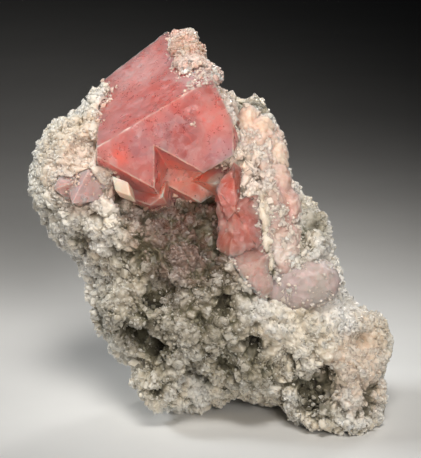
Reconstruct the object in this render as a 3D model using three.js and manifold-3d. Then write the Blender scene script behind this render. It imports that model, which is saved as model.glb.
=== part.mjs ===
// Pink fluorite on a matrix of albite and chlorite: a cabinet specimen of pink alpine fluorite,
// standing on its own broken underside. Millimetres, +Z up, +X to the specimen's right, -Y in front.
//
// The specimen's display face leans back. Places on it are given as (right, up, out): right and up
// lie in the leaning face plane, and out stands square to it, towards the front.

import * as THREE from 'three';
import { ConvexGeometry } from 'three/addons/geometries/ConvexGeometry.js';
import { mergeVertices } from 'three/addons/utils/BufferGeometryUtils.js';
import Module from 'manifold-3d';

const wasm = await Module();
wasm.setup();

// ---------------------------------------------------------------- driving dimensions

const LEAN = THREE.MathUtils.degToRad(15); // lean of the display face from upright
const FACE_HEIGHT = 38; // height of the face plane's own centre above the ground
const GAP = 0.3; // clearance between a crystal and the pocket it grew in
const POCKET_DEPTH = 6; // how far in front of a chip the rock is kept clear

const ROCK_RIM = 16; // how far in from its outline the rock reaches full thickness
const ROCK_HALF = 19; // half the rock's thickness in its lower half
const ROCK_TAPER = 0.17; // thinning of that half thickness per mm above the middle
const ROCK_CELL = 2.45; // size of the rock's facets
const LUMP_CELL = 6.5; // spacing of the knobs all over the rock
const LUMP_HEIGHT = 2.2;
const KNOB_LEVEL = 1.22; // share of the knobs' height that stays below the rock's own surface

const RIDGE_CLIMB = THREE.MathUtils.degToRad(31); // climb of the main crystal's long ridge
const FACE_DIP = THREE.MathUtils.degToRad(9); // its front face looks this far downwards
const CRUST_CELL = 1.6; // size of the facets of the crust and the nodule

// The rock's outline on the display face, clockwise from the crystal's left foot: (right, up).
const ROCK_OUTLINE = [
  [-21, 29], [-24, 27], [-26, 24], [-27.5, 22.5], [-30.5, 21.5], [-33.5, 19], [-34.5, 16],
  [-35.5, 12.5], [-36, 7.5], [-35, 4.5], [-32.5, 1], [-29.5, -3], [-27, -5], [-26, -7.5], [-23, -10],
  [-24, -15], [-23.5, -18], [-20.5, -23.5], [-16, -28], [-15, -31], [-11.5, -33.5], [-8.5, -37],
  [-3.5, -36.5], [1.5, -35], [4.5, -33.5], [13.5, -35.5], [15, -40], [17, -50], [34, -50], [36, -40],
  [35, -30.5], [36.5, -28], [35.5, -22], [32, -18.5], [28, -14], [26, -11], [26.5, -8.5], [24.5, -5.5],
  [24, 0], [22, 3.5], [17.5, 7], [16, 10], [15.5, 15], [14, 20], [11.5, 23.5], [9, 26.5], [7, 25.5],
  [2.5, 28], [-2, 31], [-8, 30.5], [-15, 26.5],
];

// Knobs and ledges that stand out of the rock: centre (right, up, out), then radii.
const ROCK_LUMPS = [
  { at: [-25.5, 17.5, 3], radii: [5, 4, 6] }, // knob left of the crystal
  { at: [-29.5, 8, 1], radii: [4.5, 6, 6] }, // left rim
  { at: [-15.5, -15.5, 3.5], radii: [6.5, 3.8, 6] }, // cream knob over the dark hole
  { at: [-9.5, -30, -2], radii: [6, 6, 7.5] }, // lower left foot
  { at: [-9, -4.5, 6.5], radii: [8, 3.6, 5] }, // shelf under the crystal
  { at: [-1, -10, 7], radii: [4.5, 3.6, 5] },
  { at: [-4, -17.5, 6], radii: [3.6, 3.6, 4.8] },
  { at: [2.5, -20.5, 6], radii: [3.6, 4, 4.8] },
  { at: [9, -27, 1.5], radii: [5.5, 4.5, 7] }, // pale ledge
  { at: [12, 1, 6.5], radii: [1.9, 8, 5] }, // white ridge beside the lower crystal
  { at: [8, 25, -4], radii: [2.4, 3.4, 4] }, // cream knob at the top right
  { at: [19.5, 0.5, -3], radii: [3.6, 4.4, 6] },
  { at: [29, -19.4, -5], radii: [6, 4.5, 7.5] }, // tan knob on the right edge
  { at: [23.5, -31, -1], radii: [9.5, 8.5, 8.5] }, // lower right foot
  { at: [-8.5, -31, -24], radii: [6, 6, 6] }, // hidden back foot
];

// Hollows, vugs and crevices: centre (right, up, out), then radii.
const ROCK_PITS = [
  { at: [-6, 8, 15], radii: [13, 6.5, 14.5] }, // hollow that bares the crystal's lower faces
  { at: [-8, 3, 17], radii: [11, 4.5, 9] }, // and its shaded floor
  { at: [-0.5, -1.5, 15], radii: [3.2, 5.5, 8.5] }, // deep crack beside the lower crystal
  { at: [18, 9, 19], radii: [12, 17, 20] }, // falling right shoulder
  { at: [-13, -21.5, 9], radii: [4, 2.8, 8] }, // dark hole
  { at: [-10.3, -12, 12], radii: [2.2, 4, 6] },
  { at: [3, -14.5, 12], radii: [2.2, 2, 4] },
  { at: [8, -22.3, 11], radii: [2.2, 2, 4.5] },
  { at: [-3.5, -29.5, 6], radii: [2.2, 5, 9] }, // crevice beside the left foot
  { at: [19.5, -31, 9.5], radii: [4.5, 5, 6] }, // green vug
  { at: [13.6, -27.5, 8], radii: [2, 4.5, 6] }, // shadow behind the pale ledge
  { at: [37, -28.5, -6], radii: [3, 2, 6] }, // notch in the right edge
  { at: [29, -22.5, 3], radii: [3.5, 1.8, 5] },
  { at: [-23, 15.5, 10], radii: [3.2, 1.8, 6] },
  { at: [22.5, -7.2, 1], radii: [4, 1.5, 5] },
  { at: [6, 21.5, 3], radii: [1.8, 5, 9] }, // green hollow behind the crystal
  { at: [-17.5, 23, 10], radii: [4.5, 5, 10] }, // crystal's free left shoulder
  { at: [16.6, -11, 13], radii: [7.4, 4.6, 8] }, // in front of the nodule
  { at: [-20, -4, -26], radii: [10, 12, 8] }, // broken hollow in the back
];

// Flat broken faces round the back of the rock: a place on each, then the way it faces.
const ROCK_BREAKS = [
  { at: [-24, 12, -12], facing: [-0.5, 0.25, -0.83] },
  { at: [22, -8, -18], facing: [0.55, 0.3, -0.78] },
  { at: [2, 24, -13], facing: [0.15, 0.75, -0.65] },
  { at: [-6, -14, -24.5], facing: [-0.2, -0.1, -0.97] },
  { at: [30, -30, -22], facing: [0.6, -0.1, -0.79] },
  { at: [-27.5, -17, -10], facing: [-0.8, -0.5, -0.33] },
];

// ---------------------------------------------------------------- the leaning face plane

const RIGHT = new THREE.Vector3(1, 0, 0);
const UP = new THREE.Vector3(0, Math.sin(LEAN), Math.cos(LEAN));
const OUT = new THREE.Vector3(0, -Math.cos(LEAN), Math.sin(LEAN));

// Moves the specimen so that the middle of its footprint box stands on the origin.
const FOOTPRINT_SHIFT = new THREE.Vector3(0.1, 3.7, 0);

function place(right, up, out) {
  return new THREE.Vector3(0, 0, FACE_HEIGHT)
    .addScaledVector(RIGHT, right)
    .addScaledVector(UP, up)
    .addScaledVector(OUT, out)
    .sub(FOOTPRINT_SHIFT);
}

function facePlace(point) {
  const x = point.x + FOOTPRINT_SHIFT.x;
  const y = point.y + FOOTPRINT_SHIFT.y;
  const z = point.z + FOOTPRINT_SHIFT.z - FACE_HEIGHT;
  return [x, y * UP.y + z * UP.z, y * OUT.y + z * OUT.z];
}

// ---------------------------------------------------------------- solids and meshes

function solidOf(geometry) {
  const bare = geometry.clone();
  bare.deleteAttribute('normal');
  bare.deleteAttribute('uv');
  const merged = mergeVertices(bare, 1e-4);
  return new wasm.Manifold(new wasm.Mesh({
    numProp: 3,
    vertProperties: new Float32Array(merged.attributes.position.array),
    triVerts: new Uint32Array(merged.index.array),
  }));
}

function geometryOf(solid) {
  const mesh = solid.getMesh();
  const geometry = new THREE.BufferGeometry();
  geometry.setAttribute('position', new THREE.BufferAttribute(mesh.vertProperties, 3));
  geometry.setIndex(new THREE.BufferAttribute(mesh.triVerts, 1));
  geometry.computeVertexNormals();
  return geometry;
}

function joined(solids) {
  return solids.reduce((whole, solid) => whole.add(solid));
}

function without(solid, cutters) {
  return cutters.reduce((rest, cutter) => rest.subtract(cutter), solid);
}

function largestPiece(solid) {
  return solid.decompose().reduce((best, piece) => (piece.volume() > best.volume() ? piece : best));
}

function addMesh(group, name, solid, color, roughness) {
  const material = new THREE.MeshStandardMaterial({ color, roughness, metalness: 0 });
  const mesh = new THREE.Mesh(geometryOf(solid), material);
  mesh.name = name;
  group.add(mesh);
}

// ---------------------------------------------------------------- crystals with flat faces

// A plane of a crystal: the solid lies on the side that its normal points away from.
function planeThrough(normal, point, inset = 0) {
  const unit = normal.clone().normalize();
  return { normal: unit, distance: unit.dot(point) - inset };
}

// The convex solid inside all the planes, each of them moved out by grow.
function blockSolid(planes, grow = 0) {
  const corners = [];
  for (let i = 0; i < planes.length; i++) {
    for (let j = i + 1; j < planes.length; j++) {
      for (let k = j + 1; k < planes.length; k++) {
        const corner = meetingPoint(planes[i], planes[j], planes[k], grow);
        if (!corner) continue;
        const inside = planes.every((plane) => plane.normal.dot(corner) < plane.distance + grow + 1e-6);
        if (inside && !corners.some((other) => other.distanceTo(corner) < 1e-3)) corners.push(corner);
      }
    }
  }
  return solidOf(new ConvexGeometry(corners));
}

function meetingPoint(a, b, c, grow) {
  const across = new THREE.Vector3().crossVectors(b.normal, c.normal);
  const volume = a.normal.dot(across);
  if (Math.abs(volume) < 1e-5) return null;
  const point = across.multiplyScalar(a.distance + grow);
  point.addScaledVector(new THREE.Vector3().crossVectors(c.normal, a.normal), b.distance + grow);
  point.addScaledVector(new THREE.Vector3().crossVectors(a.normal, b.normal), c.distance + grow);
  return point.divideScalar(volume);
}

// The planes round a cloud of corner places, so that a hand-shaped chip can be grown like a block.
function hullPlanes(places) {
  const corners = places.map((corner) => place(...corner));
  const hull = new ConvexGeometry(corners);
  const position = hull.attributes.position;
  const planes = [];
  for (let i = 0; i < position.count; i += 3) {
    const [a, b, c] = [0, 1, 2].map((n) => new THREE.Vector3().fromBufferAttribute(position, i + n));
    const normal = b.clone().sub(a).cross(c.clone().sub(a)).normalize();
    const distance = normal.dot(a);
    const known = planes.some((p) => p.normal.dot(normal) > 0.9999 && Math.abs(p.distance - distance) < 0.02);
    if (!known) planes.push({ normal, distance });
  }
  return planes;
}

// The eight octahedron directions of a crystal whose front face dips and whose ridge climbs.
function octahedronNormals(climb, dip) {
  const direction = (right, up, out) => new THREE.Vector3()
    .addScaledVector(RIGHT, right)
    .addScaledVector(UP, up)
    .addScaledVector(OUT, out);
  const [sinClimb, cosClimb, sinDip, cosDip] = [Math.sin(climb), Math.cos(climb), Math.sin(dip), Math.cos(dip)];
  const along = direction(cosClimb, sinClimb, 0);
  const down = direction(sinClimb * cosDip, -cosClimb * cosDip, -sinDip);
  const front = direction(sinClimb * sinDip, -cosClimb * sinDip, cosDip);
  const lowerPair = front.clone().multiplyScalar(1 / 3).addScaledVector(down, Math.SQRT2 / 3);
  const side = Math.sqrt(2 / 3);
  const normals = {
    front,
    upper: front.clone().multiplyScalar(1 / 3).addScaledVector(down, -2 * Math.SQRT2 / 3),
    right: lowerPair.clone().addScaledVector(along, side),
    left: lowerPair.clone().addScaledVector(along, -side),
  };
  normals.back = front.clone().negate();
  normals.under = normals.upper.clone().negate();
  normals.backLeft = normals.right.clone().negate();
  normals.backRight = normals.left.clone().negate();
  return normals;
}

// ---------------------------------------------------------------- rough solids from a field

// Distance-like field helpers: negative inside.
function ellipsoid(where, { at, radii }) {
  const scaled = Math.hypot(
    (where[0] - at[0]) / radii[0],
    (where[1] - at[1]) / radii[1],
    (where[2] - at[2]) / radii[2],
  );
  return (scaled - 1) * Math.min(...radii);
}

function softMin(a, b, blend) {
  const h = Math.max(blend - Math.abs(a - b), 0) / blend;
  return Math.min(a, b) - h * h * blend * 0.25;
}

function softMax(a, b, blend) {
  return -softMin(-a, -b, blend);
}

function hash(i, j, k, salt) {
  const s = Math.sin(i * 127.1 + j * 311.7 + k * 74.7 + salt * 53.3) * 43758.5453;
  return s - Math.floor(s);
}

// Rounded knobs packed side by side: 1 on the top of a knob, falling to 0 in the creases between.
function knobs(where, cell, salt) {
  const [x, y, z] = where.map((v) => v / cell);
  const [ix, iy, iz] = [x, y, z].map(Math.floor);
  let nearest = 9;
  for (let i = ix - 1; i <= ix + 1; i++) {
    for (let j = iy - 1; j <= iy + 1; j++) {
      for (let k = iz - 1; k <= iz + 1; k++) {
        const dx = i + 0.15 + 0.7 * hash(i, j, k, salt) - x;
        const dy = j + 0.15 + 0.7 * hash(i, j, k, salt + 1) - y;
        const dz = k + 0.15 + 0.7 * hash(i, j, k, salt + 2) - z;
        nearest = Math.min(nearest, dx * dx + dy * dy + dz * dz);
      }
    }
  }
  return Math.max(0, 1 - nearest);
}

// How far a face place lies inside a closed outline of (right, up) points; negative outside.
function insetIn(outline, right, up) {
  let nearest = Infinity;
  let inside = false;
  for (let i = 0, j = outline.length - 1; i < outline.length; j = i++) {
    const [ax, ay] = outline[j];
    const [bx, by] = outline[i];
    const [ex, ey] = [bx - ax, by - ay];
    const along = THREE.MathUtils.clamp(((right - ax) * ex + (up - ay) * ey) / (ex * ex + ey * ey), 0, 1);
    nearest = Math.min(nearest, Math.hypot(right - ax - along * ex, up - ay - along * ey));
    if ((ay > up) !== (by > up) && right < ax + ((up - ay) / ey) * ex) inside = !inside;
  }
  return inside ? nearest : -nearest;
}

// Turns a field into a closed solid: one vertex in each grid cell that the surface passes through.
function solidFromField(field, low, high, cell) {
  const counts = [0, 1, 2].map((axis) => Math.ceil((high[axis] - low[axis]) / cell) + 1);
  const [nx, ny, nz] = counts;
  const index = (i, j, k) => (k * ny + j) * nx + i;
  const nodeAt = (i, j, k) => new THREE.Vector3(low[0] + i * cell, low[1] + j * cell, low[2] + k * cell);
  const values = new Float64Array(nx * ny * nz).fill(cell);
  for (let k = 1; k < nz - 1; k++) {
    for (let j = 1; j < ny - 1; j++) {
      for (let i = 1; i < nx - 1; i++) values[index(i, j, k)] = field(nodeAt(i, j, k));
    }
  }
  const steps = [1, nx, nx * ny];
  fillPinches(values, counts, steps);

  const CORNERS = [0, 1, 2, 3, 4, 5, 6, 7].map((n) => [n & 1, (n >> 1) & 1, (n >> 2) & 1]);
  const EDGES = [];
  CORNERS.forEach((corner, n) => [1, 2, 4].forEach((bit) => {
    if (!(n & bit)) EDGES.push([n, n | bit]);
  }));
  const vertexOf = new Int32Array(nx * ny * nz).fill(-1);
  const positions = [];
  for (let k = 0; k < nz - 1; k++) {
    for (let j = 0; j < ny - 1; j++) {
      for (let i = 0; i < nx - 1; i++) {
        const at = CORNERS.map(([a, b, c]) => values[index(i + a, j + b, k + c)]);
        const crossings = EDGES.filter(([a, b]) => (at[a] < 0) !== (at[b] < 0));
        if (crossings.length === 0) continue;
        const sum = new THREE.Vector3();
        for (const [a, b] of crossings) {
          const t = at[a] / (at[a] - at[b]);
          sum.x += CORNERS[a][0] + t * (CORNERS[b][0] - CORNERS[a][0]);
          sum.y += CORNERS[a][1] + t * (CORNERS[b][1] - CORNERS[a][1]);
          sum.z += CORNERS[a][2] + t * (CORNERS[b][2] - CORNERS[a][2]);
        }
        sum.multiplyScalar(cell / crossings.length);
        const vertex = nodeAt(i, j, k).add(sum);
        vertexOf[index(i, j, k)] = positions.length / 3;
        positions.push(vertex.x, vertex.y, vertex.z);
      }
    }
  }

  const triangles = [];
  const addQuad = (cells, flip) => {
    const [a, b, c, d] = cells.map((n) => vertexOf[n]);
    if (flip) triangles.push(a, c, b, a, d, c);
    else triangles.push(a, b, c, a, c, d);
  };
  for (let axis = 0; axis < 3; axis++) {
    const [s, u, v] = [steps[axis], steps[(axis + 1) % 3], steps[(axis + 2) % 3]];
    for (let n = 0; n + s < values.length; n++) {
      const inside = values[n] < 0;
      if (inside === (values[n + s] < 0)) continue;
      addQuad([n - u - v, n - v, n, n - u], !inside);
    }
  }
  return new wasm.Manifold(new wasm.Mesh({
    numProp: 3,
    vertProperties: new Float32Array(positions),
    triVerts: new Uint32Array(triangles),
  }));
}

// Fills grid corners where the surface would only touch itself along an edge or at a point.
function fillPinches(values, counts, steps) {
  const [nx, ny, nz] = counts;
  const fill = (n) => {
    values[n] = -0.02;
  };
  for (let changed = true; changed;) {
    changed = false;
    for (let k = 0; k < nz - 1; k++) {
      for (let j = 0; j < ny - 1; j++) {
        for (let i = 0; i < nx - 1; i++) {
          const base = (k * ny + j) * nx + i;
          for (const [u, v] of [[steps[0], steps[1]], [steps[1], steps[2]], [steps[2], steps[0]]]) {
            const [a, b, c, d] = [base, base + u, base + u + v, base + v].map((n) => values[n] < 0);
            if (a === c && b === d && a !== b) {
              if (a) fill(values[base + u] < values[base + v] ? base + u : base + v);
              else fill(values[base] < values[base + u + v] ? base : base + u + v);
              changed = true;
            }
          }
          changed = fillDiagonal(values, base, steps, fill) || changed;
        }
      }
    }
  }
}

// A cell whose only filled, or only empty, corners are two opposite ones gets a corner filled.
function fillDiagonal(values, base, [sx, sy, sz], fill) {
  const corner = (n) => base + (n & 1 ? sx : 0) + (n & 2 ? sy : 0) + (n & 4 ? sz : 0);
  let filled = 0;
  for (let n = 0; n < 8; n++) if (values[corner(n)] < 0) filled |= 1 << n;
  for (let n = 0; n < 4; n++) {
    const pair = (1 << n) | (1 << (7 - n));
    if (filled === pair) {
      fill(corner(n ^ 1));
      return true;
    }
    if (filled === (255 ^ pair)) {
      fill(corner(n));
      return true;
    }
  }
  return false;
}

// A rough solid with every vertex moved out along its normal, for cutting its pocket.
function grown(solid, distance) {
  const geometry = geometryOf(solid);
  const { position, normal } = geometry.attributes;
  for (let i = 0; i < position.count; i++) {
    const vertex = new THREE.Vector3().fromBufferAttribute(position, i);
    vertex.addScaledVector(new THREE.Vector3().fromBufferAttribute(normal, i), distance);
    position.setXYZ(i, vertex.x, vertex.y, vertex.z);
  }
  return solidOf(geometry);
}

// ---------------------------------------------------------------- the main crystal

// The cleaved chip that stands out below the notch, by its corners.
const LOWER_CHIP = [
  [[-11.4, 4.5, 11], [-5.4, 9, 8], [-10.6, 7.8, 8], [-15.6, 5.9, 9], [-14.3, 8.8, 7], [-10, 10, -2],
    [-5, 10, -2], [-11, 2, -2], [-4, 5, 0], [-15, 4, 0]],
];

// A broken side of the crystal: it holds the edge from one place to another and runs back from it.
function breakPlane(from, to, [right, up, out], outward) {
  const into = place(right, up, out).sub(place(0, 0, 0));
  const normal = to.clone().sub(from).cross(into);
  if (normal.dot(outward) < 0) normal.negate();
  return planeThrough(normal, from);
}

// Parallel octahedral blocks that share their directions, so that steps and notches come between.
function mainFluorite(grow) {
  const n = octahedronNormals(RIDGE_CLIMB, FACE_DIP);
  const ridge = place(-5.7, 24.6, 17);
  const summit = place(-8.6, 39.2, -8.6);
  const topBreak = breakPlane(place(-20.8, 29, -5), summit, [0, -0.9, -0.45], UP);
  const shoulderBreak = breakPlane(summit, place(0.6, 27.6, 17), [0.15, -0.5, -0.85], RIGHT);
  const whole = blockSolid([
    planeThrough(n.front, ridge),
    planeThrough(n.upper, ridge),
    planeThrough(n.right, place(4.2, 17.5, 15.5)),
    planeThrough(n.left, place(-15.2, 9.9, 14.9)),
    planeThrough(n.under, place(1.6, 12, 15)),
    planeThrough(n.back, place(-8, 26, -11)),
    planeThrough(RIGHT.clone().negate(), place(-21.3, 15, 10)),
    topBreak,
    shoulderBreak,
  ], grow);
  const notch = blockSolid([
    planeThrough(n.backLeft, place(-10.4, 11, 15.2)),
    planeThrough(n.backRight, place(-4.8, 12.5, 15.3)),
    planeThrough(n.front, place(0, 0, 40)),
    planeThrough(n.under, place(0, -10, 0)),
  ], -grow);
  const core = blockSolid([
    planeThrough(n.front, place(-5, 9, 6)),
    planeThrough(n.upper, place(-8, 18, 4)),
    planeThrough(n.right, place(2, 9, 6)),
    planeThrough(n.left, place(-4.9, 6.7, 6)),
    planeThrough(n.under, place(-2, 5, 5)),
    planeThrough(n.back, place(-8, 20, -9)),
    planeThrough(UP, place(0, 18, 0)),
  ], grow);
  const foot = blockSolid([
    planeThrough(n.front, place(-5, 4, 1.5)),
    planeThrough(n.upper, place(-8, 12, 1)),
    planeThrough(n.right, place(1, 3, 1)),
    planeThrough(n.left, place(-13, 3, 1)),
    planeThrough(n.under, place(-5, 1.5, 1.5)),
    planeThrough(n.back, place(-8, 10, -8)),
    planeThrough(UP, place(0, 14, 0)),
  ], grow);
  const step = blockSolid([
    planeThrough(n.front, place(0.4, 7.6, 12.5)),
    planeThrough(n.upper, place(0.4, 7.6, 12.5)),
    planeThrough(n.right, place(3, 8.5, 12.5)),
    planeThrough(n.left, place(-2.2, 5.8, 12)),
    planeThrough(n.under, place(1.5, 2, 10)),
    planeThrough(n.back, place(0, 6, -4)),
  ], grow);
  return without(joined([whole, core, foot, step, chipSolid(LOWER_CHIP, grow)]), [notch]).add(core);
}

// ---------------------------------------------------------------- the smaller crystals

// Chips of fluorite with broken and cleaved sides, each as the corners of one or more convex bodies.
const LOWER_FLUORITE = [
  [[1, 7.6, 13.5], [4.4, 12.4, 13], [6.1, 11.6, 11], [4.6, 3.4, 15.2], [3, 1.6, 14.4], [1, 5.2, 11.5],
    [2, 8, 3], [7, 10, 3], [6, 0, 2]],
  [[1.2, 5.4, 12.4], [4.4, 3.6, 15], [9, 6.4, 12.5], [9.9, -2.2, 12.8], [8.8, -3.5, 13.6], [3.6, -5.4, 12.4],
    [1.4, -4, 11.6], [4, 2, 2], [9, 0, 2]],
  [[3.3, -5.4, 12.2], [9.9, -3, 12.8], [11.4, -6.3, 11.8], [11.9, -11.6, 10.8], [10.4, -13.3, 10.6],
    [8.6, -12.2, 11.5], [6.2, -9.6, 12], [6, -6, 2], [10, -9, 2]],
];
const FLANK_FLUORITE = [
  [[9.8, 14.1, 9], [11.2, 14, 6], [15.3, 8.9, 4.5], [12.5, 5.6, 10.6], [10.6, 2, 11.4], [9.4, 6, 10.8],
    [10, 10, -3], [14, 8, -4]],
  [[12.4, 6, 10.4], [15.3, 8.6, 4.6], [17.2, 5.4, 3.6], [17, -2, 6.6], [15.4, -6.3, 8.6], [12.8, -7.6, 10.2],
    [11, -4, 11.6], [10.6, 2, 11.4], [13, 4, -4], [14, -4, -3]],
];
const REAR_FLUORITE = [
  [[5.8, 19.4, 7.4], [9.8, 21.4, 4.8], [13.6, 19.6, 0.4], [14.6, 16.6, -1], [14.6, 12.6, 1], [13.6, 10.6, 4.5],
    [10.4, 13.8, 8.4], [6.4, 13.6, 10], [5.4, 15.4, 9], [8, 17, -8], [12, 15, -9]],
];

function chipSolid(bodies, grow) {
  return joined(bodies.map((corners) => blockSolid(hullPlanes(corners), grow)));
}

// A chip's pocket, open straight out to the front so that no rock covers it.
function chipPocket(bodies) {
  const opened = bodies.map((corners) => [
    ...corners,
    ...corners.map(([right, up, out]) => [right, up, out + POCKET_DEPTH]),
  ]);
  return chipSolid(opened, GAP);
}

// A cluster of small pale octahedra, the lowest of them pointing down.
const LILAC_POINTS = [
  { at: [-23.6, 7.6, 10], half: 2.9, climb: 64, dip: 20 },
  { at: [-26.6, 8.2, 8.5], half: 2.5, climb: 18, dip: 30 },
  { at: [-21.8, 9.6, 10], half: 2.2, climb: 40, dip: 4 },
];

function lilacFluorite(grow) {
  return joined(LILAC_POINTS.map(({ at, half, climb, dip }) => {
    const normals = octahedronNormals(THREE.MathUtils.degToRad(climb), THREE.MathUtils.degToRad(dip));
    const centre = place(...at);
    const planes = Object.values(normals).map((normal) => planeThrough(normal, centre, -half));
    return blockSolid(planes, grow);
  }));
}

// A little slanted block of adularia.
const RHOMB = { at: [-16.2, 7.4, 15.4], halves: [1.35, 1.15, 1.3] };

function adulariaRhomb(grow) {
  const axes = [
    new THREE.Vector3().addScaledVector(RIGHT, 0.94).addScaledVector(UP, 0.3).addScaledVector(OUT, 0.2),
    new THREE.Vector3().addScaledVector(RIGHT, 0.42).addScaledVector(UP, 0.86).addScaledVector(OUT, -0.3),
    new THREE.Vector3().addScaledVector(RIGHT, -0.25).addScaledVector(UP, 0.2).addScaledVector(OUT, 0.95),
  ];
  const centre = place(...RHOMB.at);
  const planes = axes.flatMap((axis, i) => [
    planeThrough(axis, centre, -RHOMB.halves[i]),
    planeThrough(axis.clone().negate(), centre, -RHOMB.halves[i]),
  ]);
  return blockSolid(planes, grow);
}

// ---------------------------------------------------------------- crust, nodule and rock

// Fine crystals grown over the right shoulder of the main crystal, from its top to its ridge.
const CRUST_LUMPS = [
  { at: [-6.5, 37.7, -7.4], radii: [1.7, 1.6, 2.8] },
  { at: [-4.6, 36.8, -3], radii: [2.2, 2, 3.8] },
  { at: [-5.8, 34.4, 0.5], radii: [2, 2.4, 3] },
  { at: [-3.2, 33.4, 2.6], radii: [2, 2.4, 4] },
  { at: [-5.4, 31, 6.2], radii: [1.7, 2.4, 3] },
  { at: [-3, 30.4, 8.6], radii: [2.2, 2.2, 4.4] },
  { at: [-0.4, 29.4, 11], radii: [2, 1.8, 6] },
  { at: [-4.6, 27.6, 13], radii: [1.8, 2, 3] },
  { at: [-1.8, 27.6, 14.6], radii: [2.4, 1.5, 3.6] },
  { at: [1, 28, 14], radii: [1.6, 1.3, 4.4] },
  { at: [-2.4, 29, 13.4], radii: [2.5, 2, 1.7] },
  { at: [-4.2, 26.8, 14.6], radii: [2, 1.5, 1.6] },
];

function crustField(point) {
  const where = facePlace(point);
  const lumps = CRUST_LUMPS.map((lump) => ellipsoid(where, lump));
  return lumps.reduce((a, b) => softMin(a, b, 1.6)) - 0.9 * knobs(where, 3.4, 7) + 0.3;
}

const NODULE = { at: [16.6, -11, 4], radii: [7.2, 4.5, 7] };

function noduleField(point) {
  const where = facePlace(point);
  const shoulder = ellipsoid(where, { at: [20.5, -9.6, 1], radii: [4, 3.6, 6.5] });
  return softMin(ellipsoid(where, NODULE), shoulder, 2.5);
}

function rockField(point) {
  const where = facePlace(point);
  const [right, up, out] = where;
  const middle = up < 0 ? -4.2 + 0.24 * up : -4.2 + 0.05 * up;
  const half = up < 0 ? ROCK_HALF : ROCK_HALF - ROCK_TAPER * up;
  const across = Math.max(0, 1 - insetIn(ROCK_OUTLINE, right, up) / ROCK_RIM);
  let value = (Math.hypot(across, (out - middle) / half) - 1) * Math.min(ROCK_RIM, half);
  for (const lump of ROCK_LUMPS) value = softMin(value, ellipsoid(where, lump), 1.5);
  for (const { at, facing } of ROCK_BREAKS) {
    const beyond = facing.reduce((sum, f, axis) => sum + f * (where[axis] - at[axis]), 0);
    value = softMax(value, beyond, 2);
  }
  value -= LUMP_HEIGHT * (knobs(where, LUMP_CELL, 3) + 0.6 * knobs(where, 2 * LUMP_CELL, 5) - KNOB_LEVEL);
  for (const pit of ROCK_PITS) value = softMax(value, -ellipsoid(where, pit), 1.5);
  return value;
}

// Everything below the ground, to cut the rock's feet flat.
function groundSolid() {
  const box = new THREE.BoxGeometry(200, 200, 50);
  box.translate(0, 0, -25);
  return solidOf(box);
}

// ---------------------------------------------------------------- the specimen

function specimen() {
  const group = new THREE.Group();
  const main = mainFluorite(0);
  const mainPocket = mainFluorite(GAP);
  const crust = largestPiece(without(solidFromField(crustField, [-14, -8, 52], [8, 22, 82], CRUST_CELL), [mainPocket]));
  const rhomb = without(adulariaRhomb(0), [mainPocket]);
  const lower = without(chipSolid(LOWER_FLUORITE, 0), [mainPocket]);
  const flank = without(chipSolid(FLANK_FLUORITE, 0), [mainPocket, chipSolid(LOWER_FLUORITE, GAP)]);
  const rear = without(chipSolid(REAR_FLUORITE, 0), [mainPocket, grown(crust, GAP), chipSolid(FLANK_FLUORITE, GAP)]);
  const lilac = largestPiece(without(lilacFluorite(0), [mainPocket]));
  const noduleWhole = solidFromField(noduleField, [6, -16, 14], [30, 12, 42], CRUST_CELL);
  const nodule = without(noduleWhole, [chipSolid(FLANK_FLUORITE, GAP), chipSolid(LOWER_FLUORITE, GAP)]);
  const rock = solidFromField(rockField, [-45, -28, -6], [45, 36, 84], ROCK_CELL);
  const matrix = largestPiece(without(rock, [
    groundSolid(), mainPocket, grown(crust, 1.3 * GAP), adulariaRhomb(GAP), chipPocket(LOWER_FLUORITE),
    chipPocket(FLANK_FLUORITE), chipPocket(REAR_FLUORITE), lilacFluorite(GAP), grown(noduleWhole, 1.3 * GAP),
  ]));

  addMesh(group, 'matrix', matrix, 0xb9b4a4, 0.8);
  addMesh(group, 'main_fluorite', main, 0xd9837b, 0.25);
  addMesh(group, 'summit_crust', crust, 0xcdb9a3, 0.7);
  addMesh(group, 'lower_fluorite', largestPiece(lower), 0xcf8579, 0.3);
  addMesh(group, 'flank_fluorite', largestPiece(flank), 0xd9bdb2, 0.4);
  addMesh(group, 'rear_fluorite', largestPiece(rear), 0xdcc6b6, 0.45);
  addMesh(group, 'fluorite_nodule', nodule, 0xc9b4b4, 0.4);
  addMesh(group, 'lilac_fluorite', lilac, 0xc2b0b2, 0.35);
  addMesh(group, 'adularia_rhomb', rhomb, 0xe0d2b4, 0.5);
  return group;
}

export default specimen();
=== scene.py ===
"""Dresses the fluorite specimen: pink fluorite crystals on a sugary albite matrix with chlorite."""
import logging
import math
from collections.abc import Iterator, Sequence
from contextlib import contextmanager
from dataclasses import dataclass
from enum import Enum

import bmesh
import bpy
import numpy as np
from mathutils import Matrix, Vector, noise
from mathutils.bvhtree import BVHTree
from mathutils.kdtree import KDTree


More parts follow.
